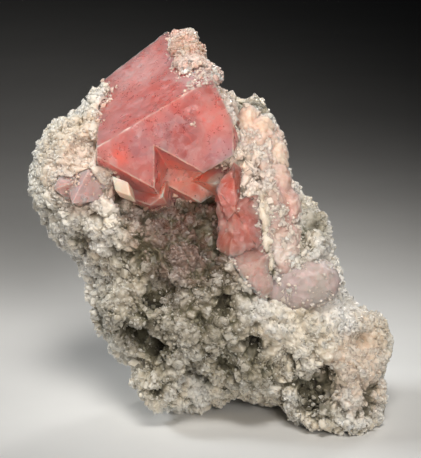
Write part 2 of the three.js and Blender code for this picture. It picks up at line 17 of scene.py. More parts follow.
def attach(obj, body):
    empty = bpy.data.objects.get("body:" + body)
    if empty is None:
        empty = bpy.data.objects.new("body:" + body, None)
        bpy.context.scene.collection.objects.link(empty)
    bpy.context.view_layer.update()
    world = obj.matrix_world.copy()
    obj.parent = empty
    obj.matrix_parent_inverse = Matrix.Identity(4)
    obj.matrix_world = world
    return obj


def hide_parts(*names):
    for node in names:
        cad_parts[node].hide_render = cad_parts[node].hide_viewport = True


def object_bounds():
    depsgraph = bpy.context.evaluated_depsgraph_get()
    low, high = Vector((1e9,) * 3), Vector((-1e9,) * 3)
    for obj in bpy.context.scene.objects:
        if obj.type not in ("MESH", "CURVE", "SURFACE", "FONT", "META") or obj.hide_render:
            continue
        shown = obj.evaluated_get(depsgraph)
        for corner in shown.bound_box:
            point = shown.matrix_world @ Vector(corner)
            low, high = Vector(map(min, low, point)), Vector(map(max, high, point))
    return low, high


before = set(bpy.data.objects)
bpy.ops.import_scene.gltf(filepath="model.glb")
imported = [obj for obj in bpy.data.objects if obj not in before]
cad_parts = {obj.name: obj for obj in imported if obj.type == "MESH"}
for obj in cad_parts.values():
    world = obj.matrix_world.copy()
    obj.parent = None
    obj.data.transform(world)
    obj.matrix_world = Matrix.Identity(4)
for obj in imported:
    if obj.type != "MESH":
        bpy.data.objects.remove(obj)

LOG = logging.getLogger("fluorite_specimen")

MM = 0.001
BODY = "root"

# The display face leans back from upright; places on it are given as right, up and out, in mm.
LEAN = math.radians(15.0)
FACE_HEIGHT = 38.0
FACE_SHIFT = (-0.1, -3.7)

# The dressed specimen stays this close to the CAD model's box, and is eased towards that limit
# over the knee's width, in mm.
BOX_MARGIN = 0.5
BOX_KNEE = 1.4
CAD_BOX = np.array(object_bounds())

# Most triangles of one piece.
MOST_TRIANGLES = 190_000

# Vertices closer than this are one, in mm.
MERGE = 0.002

# Two faces that meet at more than this angle have a real edge between them.
SHARP = math.radians(12.0)

# Two faces that meet at less than this angle are one.
FLAT = math.radians(1.0)

# Cell of the mesh of a crystal's or a crust's grown surface, in mm.
FINE = 0.28

Point = tuple[float, float, float]
Tone = tuple[float, float, float]
Socket = bpy.types.NodeSocket


def face_point(right: float, up: float, out: float) -> Vector:
    """Turns a place on the display face into one in the specimen's own frame.

    Args:
        right: Distance to the right of the face's centre, in mm.
        up: Distance up the face, in mm.
        out: Distance out of the face, in mm.

    Returns:
        The place in mm.
    """
    return Vector((
        right + FACE_SHIFT[0],
        up * math.sin(LEAN) - out * math.cos(LEAN) + FACE_SHIFT[1],
        FACE_HEIGHT + up * math.cos(LEAN) + out * math.sin(LEAN),
    ))


def linear(red: float, green: float, blue: float) -> Tone:
    """Turns a display colour, 0 to 255 a channel, into a linear one."""
    return tuple((c / 255.0) ** 2.2 for c in (red, green, blue))


# ---------------------------------------------------------------------------------------------
# Colours
# ---------------------------------------------------------------------------------------------

# The rock.
WHITE = linear(236, 231, 221)
SNOW = linear(245, 240, 230)
BRIGHT = linear(252, 246, 238)
CHALK = linear(224, 216, 200)
# Painted highlight on the rock's crests.
CREST_HIGHLIGHT = linear(218, 212, 200)
CREAM = linear(226, 212, 190)
OAT = linear(204, 182, 158)
SAND = linear(228, 200, 176)
BUFF = linear(222, 196, 166)
SHELL = linear(230, 202, 180)
BLUSH = linear(226, 196, 184)
PETAL = linear(226, 160, 148)
# Painted shade for the summit crust.
APEX_SHADE = linear(176, 130, 100)
GREY = linear(176, 170, 156)
STONE = linear(136, 128, 109)
DUSK = linear(122, 98, 84)
LOAM = linear(84, 74, 60)
# Painted shadow in the recess under the main crystal.
DEEP_SHADOW = linear(62, 48, 40)
# Painted shadow under the crystals.
SHADOW_BROWN = linear(76, 48, 36)
CHLORITE = linear(100, 98, 76)
# Chlorite, and also painted shade in the holes.
MOSS_AND_SHADE = linear(74, 69, 52)
# Painted shade in the holes.
PIT_SHADE = linear(46, 40, 32)

# The grains on the crystals.
CRUST_PINK = linear(226, 170, 154)
CRUST_CREAM = linear(232, 184, 162)
FROST = linear(228, 208, 192)

# The fluorite.
ROSE = linear(224, 143, 140)
SALMON = linear(226, 122, 114)
CORAL = linear(248, 124, 108)
# Lightened as painted light for the shaded lower facets.
GLOW = linear(255, 142, 120)
# A painted reflection.
FLASH = linear(255, 212, 196)
APRICOT = linear(244, 158, 144)
HAZE = linear(190, 140, 150)
PLUM = linear(176, 122, 128)
MAUVE = linear(190, 130, 138)
MIST = linear(226, 190, 190)
VEIL = linear(204, 170, 168)
ASH = linear(196, 166, 168)
RIM = linear(250, 206, 190)
DIM = linear(146, 78, 80)
GARNET = linear(142, 58, 54)
CLAY = linear(200, 132, 118)
RED_CLAY = linear(190, 104, 90)
EMBER = linear(196, 84, 68)
BRICK = linear(182, 98, 82)
FAWN = linear(200, 176, 164)
PEARL = linear(236, 218, 202)
BISQUE = linear(210, 187, 170)
DUSTY_ROSE = linear(202, 162, 148)
IVORY = linear(226, 203, 183)
PEACH = linear(214, 178, 158)
PALE_ROSE = linear(220, 174, 160)
LILAC = linear(220, 198, 198)
DOVE = linear(188, 178, 170)
DOVE_PINK = linear(187, 172, 168)

# The feldspar block and the floor.
TAN = linear(214, 184, 158)
PAPER = linear(222, 222, 220)
PAPER_SHADE = linear(217, 217, 215)


# ---------------------------------------------------------------------------------------------
# Materials
# ---------------------------------------------------------------------------------------------


@dataclass(frozen=True)
class Zone:
    """An area with a colour of its own; on some areas that colour is painted light or shade.

    Attributes:
        at: Its middle as right, up and out on the display face, in mm.
        radius: Half its width, in mm.
        soft: Width of its border, in mm.
        color: Its colour.
        share: How much of that colour it gets.
    """

    at: Point
    radius: float
    soft: float
    color: Tone
    share: float


class Graph:
    """Adds and joins the shader nodes of one material."""

    def __init__(self, name: str) -> None:
        """Starts an empty material.

        Args:
            name: The material's name.
        """
        self.material = bpy.data.materials.new(name)
        self.material.use_nodes = True
        self.tree = self.material.node_tree
        self.tree.nodes.clear()
        self.output = self.tree.nodes.new("ShaderNodeOutputMaterial")
        coords = self.tree.nodes.new("ShaderNodeTexCoord")
        self.place = self.vector("SCALE", coords.outputs["Object"], scale=1.0 / MM)

    def link(self, socket: Socket, value: object) -> None:
        """Sets an input to a number or colour, or links it to another node's output.

        Args:
            socket: The input.
            value: A number, a tuple or an output.
        """
        if isinstance(value, bpy.types.NodeSocket):
            self.tree.links.new(value, socket)
        elif socket.type == "RGBA" and len(value) == 3:
            socket.default_value = (*value, 1.0)
        else:
            socket.default_value = value

    def node(self, kind: str, **settings: object) -> bpy.types.Node:
        """Adds a node and sets its own options.

        Args:
            kind: The node's type.
            settings: Options by their name.

        Returns:
            The node.
        """
        made = self.tree.nodes.new(kind)
        for key, value in settings.items():
            setattr(made, key, value)
        return made

    def vector(self, operation: str, a: object, b: object = None, scale: object = None) -> Socket:
        """Adds a vector sum and returns its output.

        Args:
            operation: The sum's name.
            a: First vector.
            b: Second vector, if it has one.
            scale: Scale, if it has one.

        Returns:
            The result, a number for DISTANCE.
        """
        made = self.node("ShaderNodeVectorMath", operation=operation)
        self.link(made.inputs[0], a)
        if b is not None:
            self.link(made.inputs[1], b)
        if scale is not None:
            self.link(made.inputs["Scale"], scale)
        return made.outputs["Value" if operation == "DISTANCE" else "Vector"]

    def math(self, operation: str, a: object, b: object = 0.0, clamp: bool = False) -> Socket:
        """Adds a sum of two numbers and returns its output.

        Args:
            operation: The sum's name.
            a: First number.
            b: Second number.
            clamp: Whether the result is kept between 0 and 1.

        Returns:
            The result.
        """
        made = self.node("ShaderNodeMath", operation=operation, use_clamp=clamp)
        self.link(made.inputs[0], a)
        self.link(made.inputs[1], b)
        return made.outputs[0]

    def times(self, a: object, b: object) -> Socket:
        """Multiplies two numbers."""
        return self.math("MULTIPLY", a, b)

    def rest(self, share: Socket) -> Socket:
        """Gives what a share leaves of 1."""
        return self.math("SUBTRACT", 1.0, share)

    def attribute(self, name: str) -> Socket:
        """Gives a number that the piece keeps for each place."""
        return self.node("ShaderNodeAttribute", attribute_name=name).outputs["Fac"]

    def spread(self, value: Socket, low: float, high: float, to_low: float = 0.0,
               to_high: float = 1.0) -> Socket:
        """Maps a number smoothly from one range to another, kept inside it.

        Args:
            value: The number.
            low: The value that gives to_low.
            high: The value that gives to_high.
            to_low: Result at low.
            to_high: Result at high.

        Returns:
            The result.
        """
        made = self.node("ShaderNodeMapRange", interpolation_type="SMOOTHSTEP")
        for key, number in (("Value", value), ("From Min", low), ("From Max", high),
                            ("To Min", to_low), ("To Max", to_high)):
            self.link(made.inputs[key], number)
        return made.outputs["Result"]

    def noise(self, size: float, detail: float = 3.0, rough: float = 0.55,
              distortion: float = 0.0, where: Socket | None = None) -> Socket:
        """Adds a cloud pattern and returns its value.

        Args:
            size: Size of its largest clouds, in mm.
            detail: Number of finer layers.
            rough: Strength of the finer layers.
            distortion: How far it is swirled.
            where: Coordinates in mm, or the piece's own.

        Returns:
            The value, about 0 to 1.
        """
        made = self.node("ShaderNodeTexNoise")
        self.link(made.inputs["Vector"], where or self.place)
        for key, number in (("Scale", 1.0 / size), ("Detail", detail), ("Roughness", rough),
                            ("Distortion", distortion)):
            self.link(made.inputs[key], number)
        return made.outputs["Fac"]

    def swirl(self, size: float, reach: float) -> Socket:
        """Gives the piece's own coordinates, pushed about by clouds.

        Args:
            size: Size of the clouds, in mm.
            reach: How far they push, in mm.

        Returns:
            The coordinates in mm.
        """
        made = self.node("ShaderNodeTexNoise")
        self.link(made.inputs["Vector"], self.place)
        self.link(made.inputs["Scale"], 1.0 / size)
        push = self.vector("SUBTRACT", made.outputs["Color"], (0.5, 0.5, 0.5))
        return self.vector("ADD", self.place, self.vector("SCALE", push, scale=reach))

    def cells(self, size: float, feature: str = "F1", output: str = "Distance",
              where: Socket | None = None) -> Socket:
        """Adds a cell pattern and returns one of its outputs.

        Args:
            size: Size of a cell, in mm.
            feature: Which distance it gives.
            output: The name of the output.
            where: Coordinates in mm, or the piece's own.

        Returns:
            The output.
        """
        made = self.node("ShaderNodeTexVoronoi", feature=feature)
        self.link(made.inputs["Vector"], where or self.place)
        self.link(made.inputs["Scale"], 1.0 / size)
        return made.outputs[output]

    def blend(self, share: object, a: object, b: object) -> Socket:
        """Mixes two colours and returns the result.

        Args:
            share: Share of b.
            a: First colour.
            b: Second colour.

        Returns:
            The colour.
        """
        made = self.node("ShaderNodeMix", data_type="RGBA")
        self.link(made.inputs[0], share)
        self.link(made.inputs[6], a)
        self.link(made.inputs[7], b)
        return made.outputs[2]

    def near(self, zone: Zone) -> Socket:
        """Gives 1 in an area of the display face and 0 away from it, with a ragged border.

        Args:
            zone: The area.

        Returns:
            The share.
        """
        away = self.vector("DISTANCE", self.place, tuple(face_point(*zone.at)))
        ragged = self.math("ADD", away, self.times(self.noise(3.5, 2.0), zone.soft))
        return self.spread(ragged, zone.radius + zone.soft, zone.radius)

    def bump(self, height: Socket, depth: float, normal: Socket | None = None) -> Socket:
        """Adds a bump and returns its normal.

        Args:
            height: The height, 0 to 1.
            depth: Depth of the bump, in mm.
            normal: A bump below this one.

        Returns:
            The normal.
        """
        made = self.node("ShaderNodeBump")
        self.link(made.inputs["Height"], height)
        made.inputs["Distance"].default_value = depth * MM
        if normal is not None:
            self.link(made.inputs["Normal"], normal)
        return made.outputs["Normal"]

    def principled(self, **values: object) -> bpy.types.Node:
        """Adds the surface shader and joins it to the output.

        Args:
            values: Its inputs by name, with _ for a space.

        Returns:
            The shader node.
        """
        made = self.node("ShaderNodeBsdfPrincipled")
        for key, value in values.items():
            self.link(made.inputs[key.replace("_", " ")], value)
        self.tree.links.new(made.outputs[0], self.output.inputs["Surface"])
        return made

    def absorb(self, color: Tone, density: float) -> None:
        """Makes the inside take up light.

        Args:
            color: The colour that passes.
            density: How much is taken up, per metre.
        """
        made = self.node("ShaderNodeVolumeAbsorption")
        made.inputs["Color"].default_value = (*color, 1.0)
        made.inputs["Density"].default_value = density
        self.tree.links.new(made.outputs[0], self.output.inputs["Volume"])


ROCK_ZONES = (
    Zone((-30.0, 9.0, 4.0), 12.0, 8.0, CHALK, 0.7),
    Zone((-24.0, 14.0, 9.0), 10.0, 5.0, OAT, 0.8),
    Zone((-20.0, 17.0, 9.0), 5.0, 4.0, SAND, 0.6),
    Zone((-10.0, -16.0, 7.0), 15.0, 8.0, STONE, 0.8),
    Zone((3.0, -24.0, 4.0), 8.0, 7.0, STONE, 0.7),
    Zone((-2.0, -8.0, 10.0), 9.0, 6.0, STONE, 0.9),
    # Painted shadow under the main crystal.
    Zone((0.0, -3.0, 9.0), 9.0, 5.0, DUSK, 0.7),
    Zone((-4.0, -8.5, 12.0), 8.0, 4.0, LOAM, 0.9),
    # Painted shadow under the crystals, here and in the next two areas.
    Zone((-2.0, 1.5, 8.0), 8.0, 3.0, SHADOW_BROWN, 0.95),
    Zone((-10.0, 0.5, 9.0), 7.0, 3.0, SHADOW_BROWN, 0.85),
    Zone((-20.8, 1.3, 9.0), 2.2, 2.0, SHADOW_BROWN, 0.8),
    Zone((-23.0, -1.0, 9.0), 1.8, 2.0, MOSS_AND_SHADE, 0.6),
    Zone((-13.0, -2.5, 12.0), 3.5, 2.5, SAND, 0.35),
    Zone((1.0, -17.0, 9.0), 7.0, 6.0, STONE, 0.9),
    Zone((8.5, -28.0, 6.0), 6.0, 5.0, STONE, 0.9),
    Zone((-16.0, -1.5, 9.0), 3.0, 3.0, CHLORITE, 0.6),
    Zone((-5.0, -6.0, 12.0), 4.0, 3.0, BLUSH, 0.35),
    Zone((24.0, -20.0, 4.0), 12.0, 8.0, CREAM, 0.7),
    # The right knob's own pale colour, made paler still as a painted highlight.
    Zone((27.0, -13.0, 1.0), 8.0, 5.0, BRIGHT, 0.95),
    Zone((32.0, -19.0, -1.0), 5.0, 3.0, BUFF, 0.6),
    Zone((22.0, -22.0, 4.0), 3.0, 3.0, BUFF, 0.5),
    Zone((29.0, -28.0, 2.0), 8.0, 5.0, SHELL, 0.7),
    Zone((11.0, 12.0, 6.0), 11.0, 4.0, BLUSH, 0.5),
    Zone((9.8, 4.0, 10.5), 3.5, 2.5, CREAM, 0.8),
    Zone((11.2, -4.0, 10.0), 3.5, 2.5, CREAM, 0.8),
    # Painted shade on the top-facing summit crust, where the light falls strongest.
    Zone((-4.5, 35.5, 4.0), 5.0, 3.0, APEX_SHADE, 0.95),
    Zone((-24.0, 10.0, 9.0), 7.0, 4.0, BLUSH, 0.4),
    Zone((-8.0, 20.0, 1.0), 14.0, 3.0, BLUSH, 0.8),
    Zone((-7.0, 38.0, -7.0), 3.0, 3.0, PETAL, 0.8),
    Zone((21.2, 1.7, 1.1), 4.0, 4.0, CHLORITE, 0.6),
    Zone((26.4, -12.9, -2.7), 3.0, 3.0, MOSS_AND_SHADE, 0.4),
    Zone((6.8, 23.3, -4.7), 1.6, 1.5, CHLORITE, 0.8),
    Zone((19.7, -31.7, 5.0), 3.6, 2.5, MOSS_AND_SHADE, 0.7),
    Zone((21.9, -27.9, 6.0), 1.6, 1.5, MOSS_AND_SHADE, 0.7),
    # Painted shade in two dark holes.
    Zone((-14.0, -20.6, 5.0), 3.4, 2.5, PIT_SHADE, 0.7),
    Zone((-4.0, -28.8, 2.0), 2.6, 3.0, PIT_SHADE, 0.8),
    # Painted shadow in the recess under the main crystal.
    Zone((-1.0, -1.5, 9.0), 3.4, 3.0, DEEP_SHADOW, 0.7),
)
CLEAN_AREA = Zone((26.0, -16.0, 2.0), 12.0, 8.0, WHITE, 0.7)
# Painted shadow of the main crystal on the rock below it.
DIM_AREA = Zone((-5.0, -1.5, 9.0), 9.0, 5.0, SHADOW_BROWN, 0.7)


@dataclass(frozen=True)
class RockFinish:
    """Sugary white feldspar with grey-green chlorite and painted shade in its recesses, and a
    painted highlight on its crests.

    Attributes:
        name: The material's name.
        chlorite: How much chlorite shows, and how dark the painted shade in the crevices is, 0 to
            1.
        tint: Colour that the whole of it leans to.
        lean: How far it leans to that colour, 0 to 1.
        glow: How far light spreads inside, 0 to 1.
        dark: How dark the painted shade in the holes is, 0 to 1.
    """

    name: str
    chlorite: float
    tint: Tone
    lean: float
    glow: float
    dark: float = 0.6

    def material(self) -> bpy.types.Material:
        """Builds the material.

        Returns:
            The material.
        """
        g = Graph(self.name)
        recess = g.attribute("recess")
        each = g.attribute("tone")
        recess = g.math("SUBTRACT", recess, g.spread(each, 0.5, 1.0, 0.0, 0.8))
        tint = g.blend(g.spread(g.noise(8.0, 4.0), 0.42, 0.62), WHITE, CREAM)
        for zone in ROCK_ZONES:
            tint = g.blend(g.times(g.near(zone), zone.share), tint, zone.color)
        # Painted highlight on the crests, but not in the shade of the main crystal, which gets a
        # painted shadow.
        crest_highlight = g.times(g.spread(recess, 0.42, 0.12),
                        g.spread(g.noise(2.6, 4.0), 0.42, 0.6, 0.15, 0.6))
        dim = g.near(DIM_AREA)
        crest_highlight = g.times(crest_highlight, g.rest(dim))
        tint = g.blend(crest_highlight, tint, CREST_HIGHLIGHT)
        tint = g.blend(g.times(dim, DIM_AREA.share), tint, DIM_AREA.color)
        tint = g.blend(self.lean, tint, self.tint)
        tint = g.blend(g.spread(each, 0.4, 1.0, 0.0, 0.1), tint, GREY)
        # Chlorite lies in the recesses and dusts some of the rest; the crevices are darkened partly
        # by chlorite and partly by painted shade.
        moss = g.spread(g.noise(5.0, 4.0, 0.6), 0.42, 0.6)
        film = g.times(g.spread(recess, 0.35, 0.65), g.spread(moss, 0.0, 1.0, 0.4, 1.0))
        clean = g.rest(g.times(g.near(CLEAN_AREA), CLEAN_AREA.share))
        film = g.times(film, g.times(clean, self.chlorite))
        tint = g.blend(film, tint, CHLORITE)
        crevice = g.times(g.spread(recess, 0.5, 0.8), g.times(clean, 0.95))
        tint = g.blend(g.times(crevice, self.chlorite), tint, MOSS_AND_SHADE)
        dust = g.spread(g.noise(0.6, 2.0), 0.6, 0.68)
        dust = g.times(dust, g.times(moss, self.chlorite * 0.8))
        tint = g.blend(dust, tint, MOSS_AND_SHADE)
        # Painted shade in the holes, darkest in the pits.
        tint = g.blend(g.spread(recess, 0.75, 1.3, 0.0, self.dark), tint, MOSS_AND_SHADE)
        tint = g.blend(g.spread(recess, 1.2, 1.8, 0.0, self.dark), tint, PIT_SHADE)
        relief = g.bump(g.noise(1.1, 5.0, 0.7), 0.2)
        relief = g.bump(g.noise(0.3, 3.0), 0.04, relief)
        g.principled(
            Base_Color=tint,
            Roughness=g.math("MAXIMUM", g.spread(each, 0.0, 1.0, 0.1, 0.6),
                             g.spread(recess, 0.4, 1.2, 0.0, 0.9)),
            Subsurface_Weight=self.glow,
            Subsurface_Radius=(1.0, 0.96, 0.9),
            Subsurface_Scale=1.1 * MM,
            IOR=1.53,
            Normal=relief,
        )
        return g.material


ROSE_ZONES = (
    Zone((-20.2, 23.5, 4.0), 3.0, 5.0, CORAL, 0.6),
    Zone((-13.0, 31.0, 0.5), 5.5, 6.0, VEIL, 0.85),
    Zone((-6.0, 33.0, 2.0), 4.0, 5.0, HAZE, 0.4),
    Zone((1.0, 20.8, 15.5), 3.5, 4.5, CORAL, 0.6),
    Zone((-6.6, 18.0, 16.2), 3.5, 4.0, HAZE, 0.75),
    Zone((-12.4, 15.5, 16.4), 3.4, 4.0, PLUM, 0.75),
    Zone((2.2, 14.8, 15.0), 3.0, 3.0, HAZE, 0.65),
    Zone((-17.5, 13.0, 16.0), 2.0, 2.5, CORAL, 0.9),
    Zone((-5.5, 17.5, 16.0), 3.6, 3.5, DIM, 0.8),
    Zone((-2.5, 13.5, 15.5), 2.6, 3.0, DIM, 0.55),
    Zone((-4.5, 29.5, 12.5), 3.0, 4.0, MIST, 0.7),
    # The lower facets' own red, lightened as painted light where the overhang shades them, here and
    # in the next area.
    Zone((-8.0, 10.0, 8.7), 5.0, 3.0, GLOW, 1.0),
    Zone((-2.0, 8.5, 6.0), 4.5, 3.0, GLOW, 1.0),
    # Painted reflection of the light on a small upward-facing facet.
    Zone((1.0, 9.3, 10.3), 2.0, 1.2, FLASH, 0.95),
    Zone((5.0, 21.0, 12.5), 1.6, 1.5, ASH, 0.8),
    Zone((-10.0, 6.5, 10.0), 1.8, 1.5, APRICOT, 0.8),
)


@dataclass(frozen=True)
class FluoriteFinish:
    """Frosted, see-through fluorite with veils, specks and etched lines.

    Attributes:
        name: The material's name.
        color: Colour of its milky part.
        deep: Colour of its deeper areas.
        clear: How much of it is see-through, 0 to 1.
        frost: Roughness of the faces.
        passed: The colour that passes through it.
        density: How much light it takes up, per metre.
        marks: How many dark red specks and lines it has, 0 to 1.
        zones: Areas with a colour of their own; on some that colour is painted light.
        spread: How far light spreads in its milky part, in mm.
        scatter: How far each colour spreads, next to the farthest.
        rim: How pale its worn edges are, 0 to 1.
    """

    name: str
    color: Tone
    deep: Tone
    clear: float
    frost: float
    passed: Tone
    density: float
    marks: float = 0.0
    zones: tuple[Zone, ...] = ()
    spread: float = 3.0
    scatter: Tone = (1.0, 0.5, 0.45)
    rim: float = 0.25

    def material(self) -> bpy.types.Material:
        """Builds the material.

        Returns:
            The material.
        """
        g = Graph(self.name)
        cloud = g.spread(g.noise(7.0, 4.0, 0.6, 0.8), 0.4, 0.65)
        tint = g.blend(cloud, self.color, self.deep)
        milky: Socket | float = 0.0
        for zone in self.zones:
            area = g.times(g.near(zone), zone.share)
            tint = g.blend(area, tint, zone.color)
            milky = g.math("MAXIMUM", milky, area)
        # Blocks of the mosaic that it grew in, veils, wisps and lit areas inside.
        block = g.cells(5.5, output="Color", where=g.swirl(9.0, 3.0))
        tint = g.blend(g.spread(block, 0.3, 0.7, 0.0, 0.3), tint, self.deep)
        block = g.cells(3.6, output="Color", where=g.swirl(14.0, 5.0))
        tint = g.blend(g.spread(block, 0.4, 0.7, 0.0, 0.2), tint, MIST)
        veil = g.spread(g.noise(2.6, 6.0, 0.68, 1.2), 0.46, 0.7)
        tint = g.blend(g.times(veil, 0.4), tint, MIST)
        wisp = g.spread(g.noise(1.2, 5.0, 0.7, 0.5, g.swirl(3.0, 4.0)), 0.55, 0.72)
        tint = g.blend(g.times(wisp, 0.35), tint, MIST)
        glow = g.spread(g.noise(3.4, 5.0, 0.6, 0.6, g.swirl(8.0, 20.0)), 0.52, 0.7)
        tint = g.blend(g.times(glow, 0.45), tint, self.deep)
        worn = g.times(g.spread(g.attribute("edge"), 0.3, 1.0),
                       g.spread(g.noise(2.4, 4.0), 0.4, 0.6, 0.3 * self.rim, self.rim))
        tint = g.blend(worn, tint, RIM)
        # Dark red specks and etched lines.
        marked = g.spread(g.noise(7.0, 3.0, 0.6, 1.0), 0.47, 0.6)
        seam = g.cells(2.6, "DISTANCE_TO_EDGE", where=g.swirl(0.9, 2.2))
        line = g.times(g.spread(seam, 0.034, 0.01), g.spread(g.noise(1.7, 3.0), 0.46, 0.56))
        spot = g.spread(g.cells(0.8), 0.24, 0.12)
        mark = g.times(g.math("MAXIMUM", line, spot), marked)
        mark = g.times(mark, self.marks)
        tint = g.blend(g.times(mark, 0.75), tint, GARNET)
        milky = g.math("MAXIMUM", g.math("MAXIMUM", veil, worn), milky)
        clear = g.math("SUBTRACT", self.clear, g.times(milky, 0.25))
        clear = g.math("MULTIPLY", clear, g.rest(mark), clamp=True)
        relief = g.bump(g.noise(1.6, 5.0, 0.65), 0.09)
        relief = g.bump(g.noise(0.35, 3.0), 0.03, relief)
        relief = g.bump(g.rest(mark), 0.03, relief)
        g.principled(
            Base_Color=tint,
            Roughness=g.spread(g.noise(4.0, 3.0), 0.35, 0.65, self.frost * 0.7, self.frost * 1.3),
            IOR=1.434,
            Specular_IOR_Level=0.3,
            Transmission_Weight=clear,
            Subsurface_Weight=1.0,
            Subsurface_Radius=self.scatter,
            Subsurface_Scale=self.spread * MM,
            Normal=relief,
        )
        g.absorb(self.passed, self.density)
        return g.material


# ---------------------------------------------------------------------------------------------
# Modelling
# ---------------------------------------------------------------------------------------------


def only(piece: bpy.types.Object) -> bpy.types.Object:
    """Selects one object and nothing else, and makes it active."""
    if bpy.context.object and bpy.context.object.mode != "OBJECT":
        bpy.ops.object.mode_set(mode="OBJECT")
    bpy.ops.object.select_all(action="DESELECT")
    piece.select_set(True)
    bpy.context.view_layer.objects.active = piece
    return piece


@contextmanager
def editing() -> Iterator[None]:
    """Keeps the active object in edit mode for a while, with all of it selected."""
    bpy.ops.object.mode_set(mode="EDIT")
    bpy.ops.mesh.select_all(action="SELECT")
    yield
    bpy.ops.object.mode_set(mode="OBJECT")


def add_object(name: str, data: bpy.types.ID) -> bpy.types.Object:
    """Adds an object to the scene.

    Args:
        name: Its name.
        data: Its mesh, light or camera.

    Returns:
        The object.
    """
    made = bpy.data.objects.new(name, data)
    bpy.context.scene.collection.objects.link(made)
    return made


def node_copy(node: str, name: str) -> bpy.types.Object:
    """Copies a CAD node's mesh into a new object and merges its loose triangles.

    Args:
        node: The CAD node.
        name: The new object's name.

    Returns:
        The new object.
    """
    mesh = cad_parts[node].data.copy()
    mesh.name = name
    mesh.materials.clear()
    piece = only(add_object(name, mesh))
    with editing():
        bpy.ops.mesh.remove_doubles(threshold=MERGE * MM)
    return piece


def modify(piece: bpy.types.Object, kind: str, **settings: object) -> None:
    """Adds a modifier to an object, sets it and applies it.

    Args:
        piece: The object.
        kind: The modifier's type.
        settings: Its options by name.
    """
    only(piece)
    added = piece.modifiers.new(kind.title(), kind)
    for key, value in settings.items():
        setattr(added, key, value)
    bpy.ops.object.modifier_apply(modifier=added.name)


def clouds(name: str, size: float, depth: int) -> bpy.types.Texture:
    """Makes a cloud texture for the displace modifier.

    Args:
        name: Its name.
        size: Size of its largest clouds, in mm.
        depth: Number of finer layers.

    Returns:
        The texture.
    """
    made = bpy.data.textures.new(name, "CLOUDS")
    made.noise_scale = size * MM
    made.noise_depth = depth
    return made


def points_of(piece: bpy.types.Object) -> tuple[np.ndarray, np.ndarray]:
    """Gives the places and normals of an object's vertices.

    Args:
        piece: The object.

    Returns:
        The places and the normals, one row each.
    """
    count = len(piece.data.vertices)
    places = np.zeros(count * 3)
    normals = np.zeros(count * 3)
    piece.data.vertices.foreach_get("co", places)
    piece.data.vertices.foreach_get("normal", normals)
    return places.reshape(-1, 3), normals.reshape(-1, 3)


def in_box(places: np.ndarray) -> np.ndarray:
    """Keeps places on the floor and close to the CAD model's box, eased so that none go flat.

    Args:
        places: The places, in metres.

    Returns:
        The kept places.
    """
    knee = BOX_KNEE * MM
    low = CAD_BOX[0] - BOX_MARGIN * MM + knee
    high = CAD_BOX[1] + BOX_MARGIN * MM - knee
    low[2] = 0.0
    kept = np.where(places > high, high + knee * np.tanh((places - high) / knee), places)
    eased = np.where(kept < low, low - knee * np.tanh((low - kept) / knee), kept)
    eased[..., 2] = np.maximum(kept[..., 2], 0.0)
    return eased


def finish_piece(piece: bpy.types.Object, material: bpy.types.Material, nodes: tuple[str, ...],
                 slot: str) -> None:
    """Gives a piece its material and its body, and hides the CAD nodes that it stands for.

    Args:
        piece: The piece.
        material: Its material.
        nodes: The CAD nodes that it replaces.
        slot: Not used.
    """
    piece.data.materials.clear()
    piece.data.materials.append(material)
    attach(piece, BODY)
    if nodes:
        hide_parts(*nodes)
    LOG.info("%s: %d faces", piece.name, len(piece.data.polygons))


@dataclass(frozen=True)
class Lump:
    """A rounded body grown on a surface.

    Attributes:
        at: Its middle as right, up and out on the display face, in mm.
        radii: Its half widths along right, up and out, in mm.
    """

    at: Point
    radii: Point


def join_lumps(piece: bpy.types.Object, under: tuple[str, ...], lumps: tuple[Lump, ...]) -> None:
    """Joins copies of CAD nodes and lumps to a piece, before it is remeshed.

    Args:
        piece: The piece.
        under: The CAD nodes.
        lumps: The lumps.
    """
    added = [node_copy(node, node + "_fill") for node in under]
    for lump in lumps:
        bpy.ops.object.select_all(action="DESELECT")
        bpy.ops.mesh.primitive_ico_sphere_add(subdivisions=3, radius=MM)
        ball = bpy.context.object
        ball.scale = (lump.radii[0], lump.radii[2], lump.radii[1])
        ball.rotation_euler = (-LEAN, 0.0, 0.0)
        ball.location = face_point(*lump.at) * MM
        added.append(ball)
    only(piece)
    for other in added:
        other.select_set(True)
    if added:
        bpy.ops.object.join()


@dataclass(frozen=True)
class Pit:
    """A hole in the rock.

    Attributes:
        at: Its middle as right, up and out on the display face, in mm.
        radius: Half its width, in mm.
        depth: How deep it goes, in mm.
    """

    at: Point
    radius: float
    depth: float


@dataclass(frozen=True)
class Calm:
    """An area where the rock is smoother than elsewhere.

    Attributes:
        at: Its middle as right, up and out on the display face, in mm.
        radius: Half its width, in mm.
        share: How much lower its lumps are, 0 to 1.
    """

    at: Point
    radius: float
    share: float


ROCK_CALM = (
    Calm((-26.5, 12.0, 6.0), 10.0, 0.5),
    Calm((27.5, -15.0, 1.0), 8.0, 0.5),
    Calm((30.0, -26.0, 2.0), 5.0, 0.35),
    Calm((-18.0, -12.5, 6.0), 4.5, 0.4),
    Calm((13.0, -19.5, 6.0), 5.0, 0.4),
    Calm((-5.0, -21.0, 8.0), 4.0, 0.35),
)

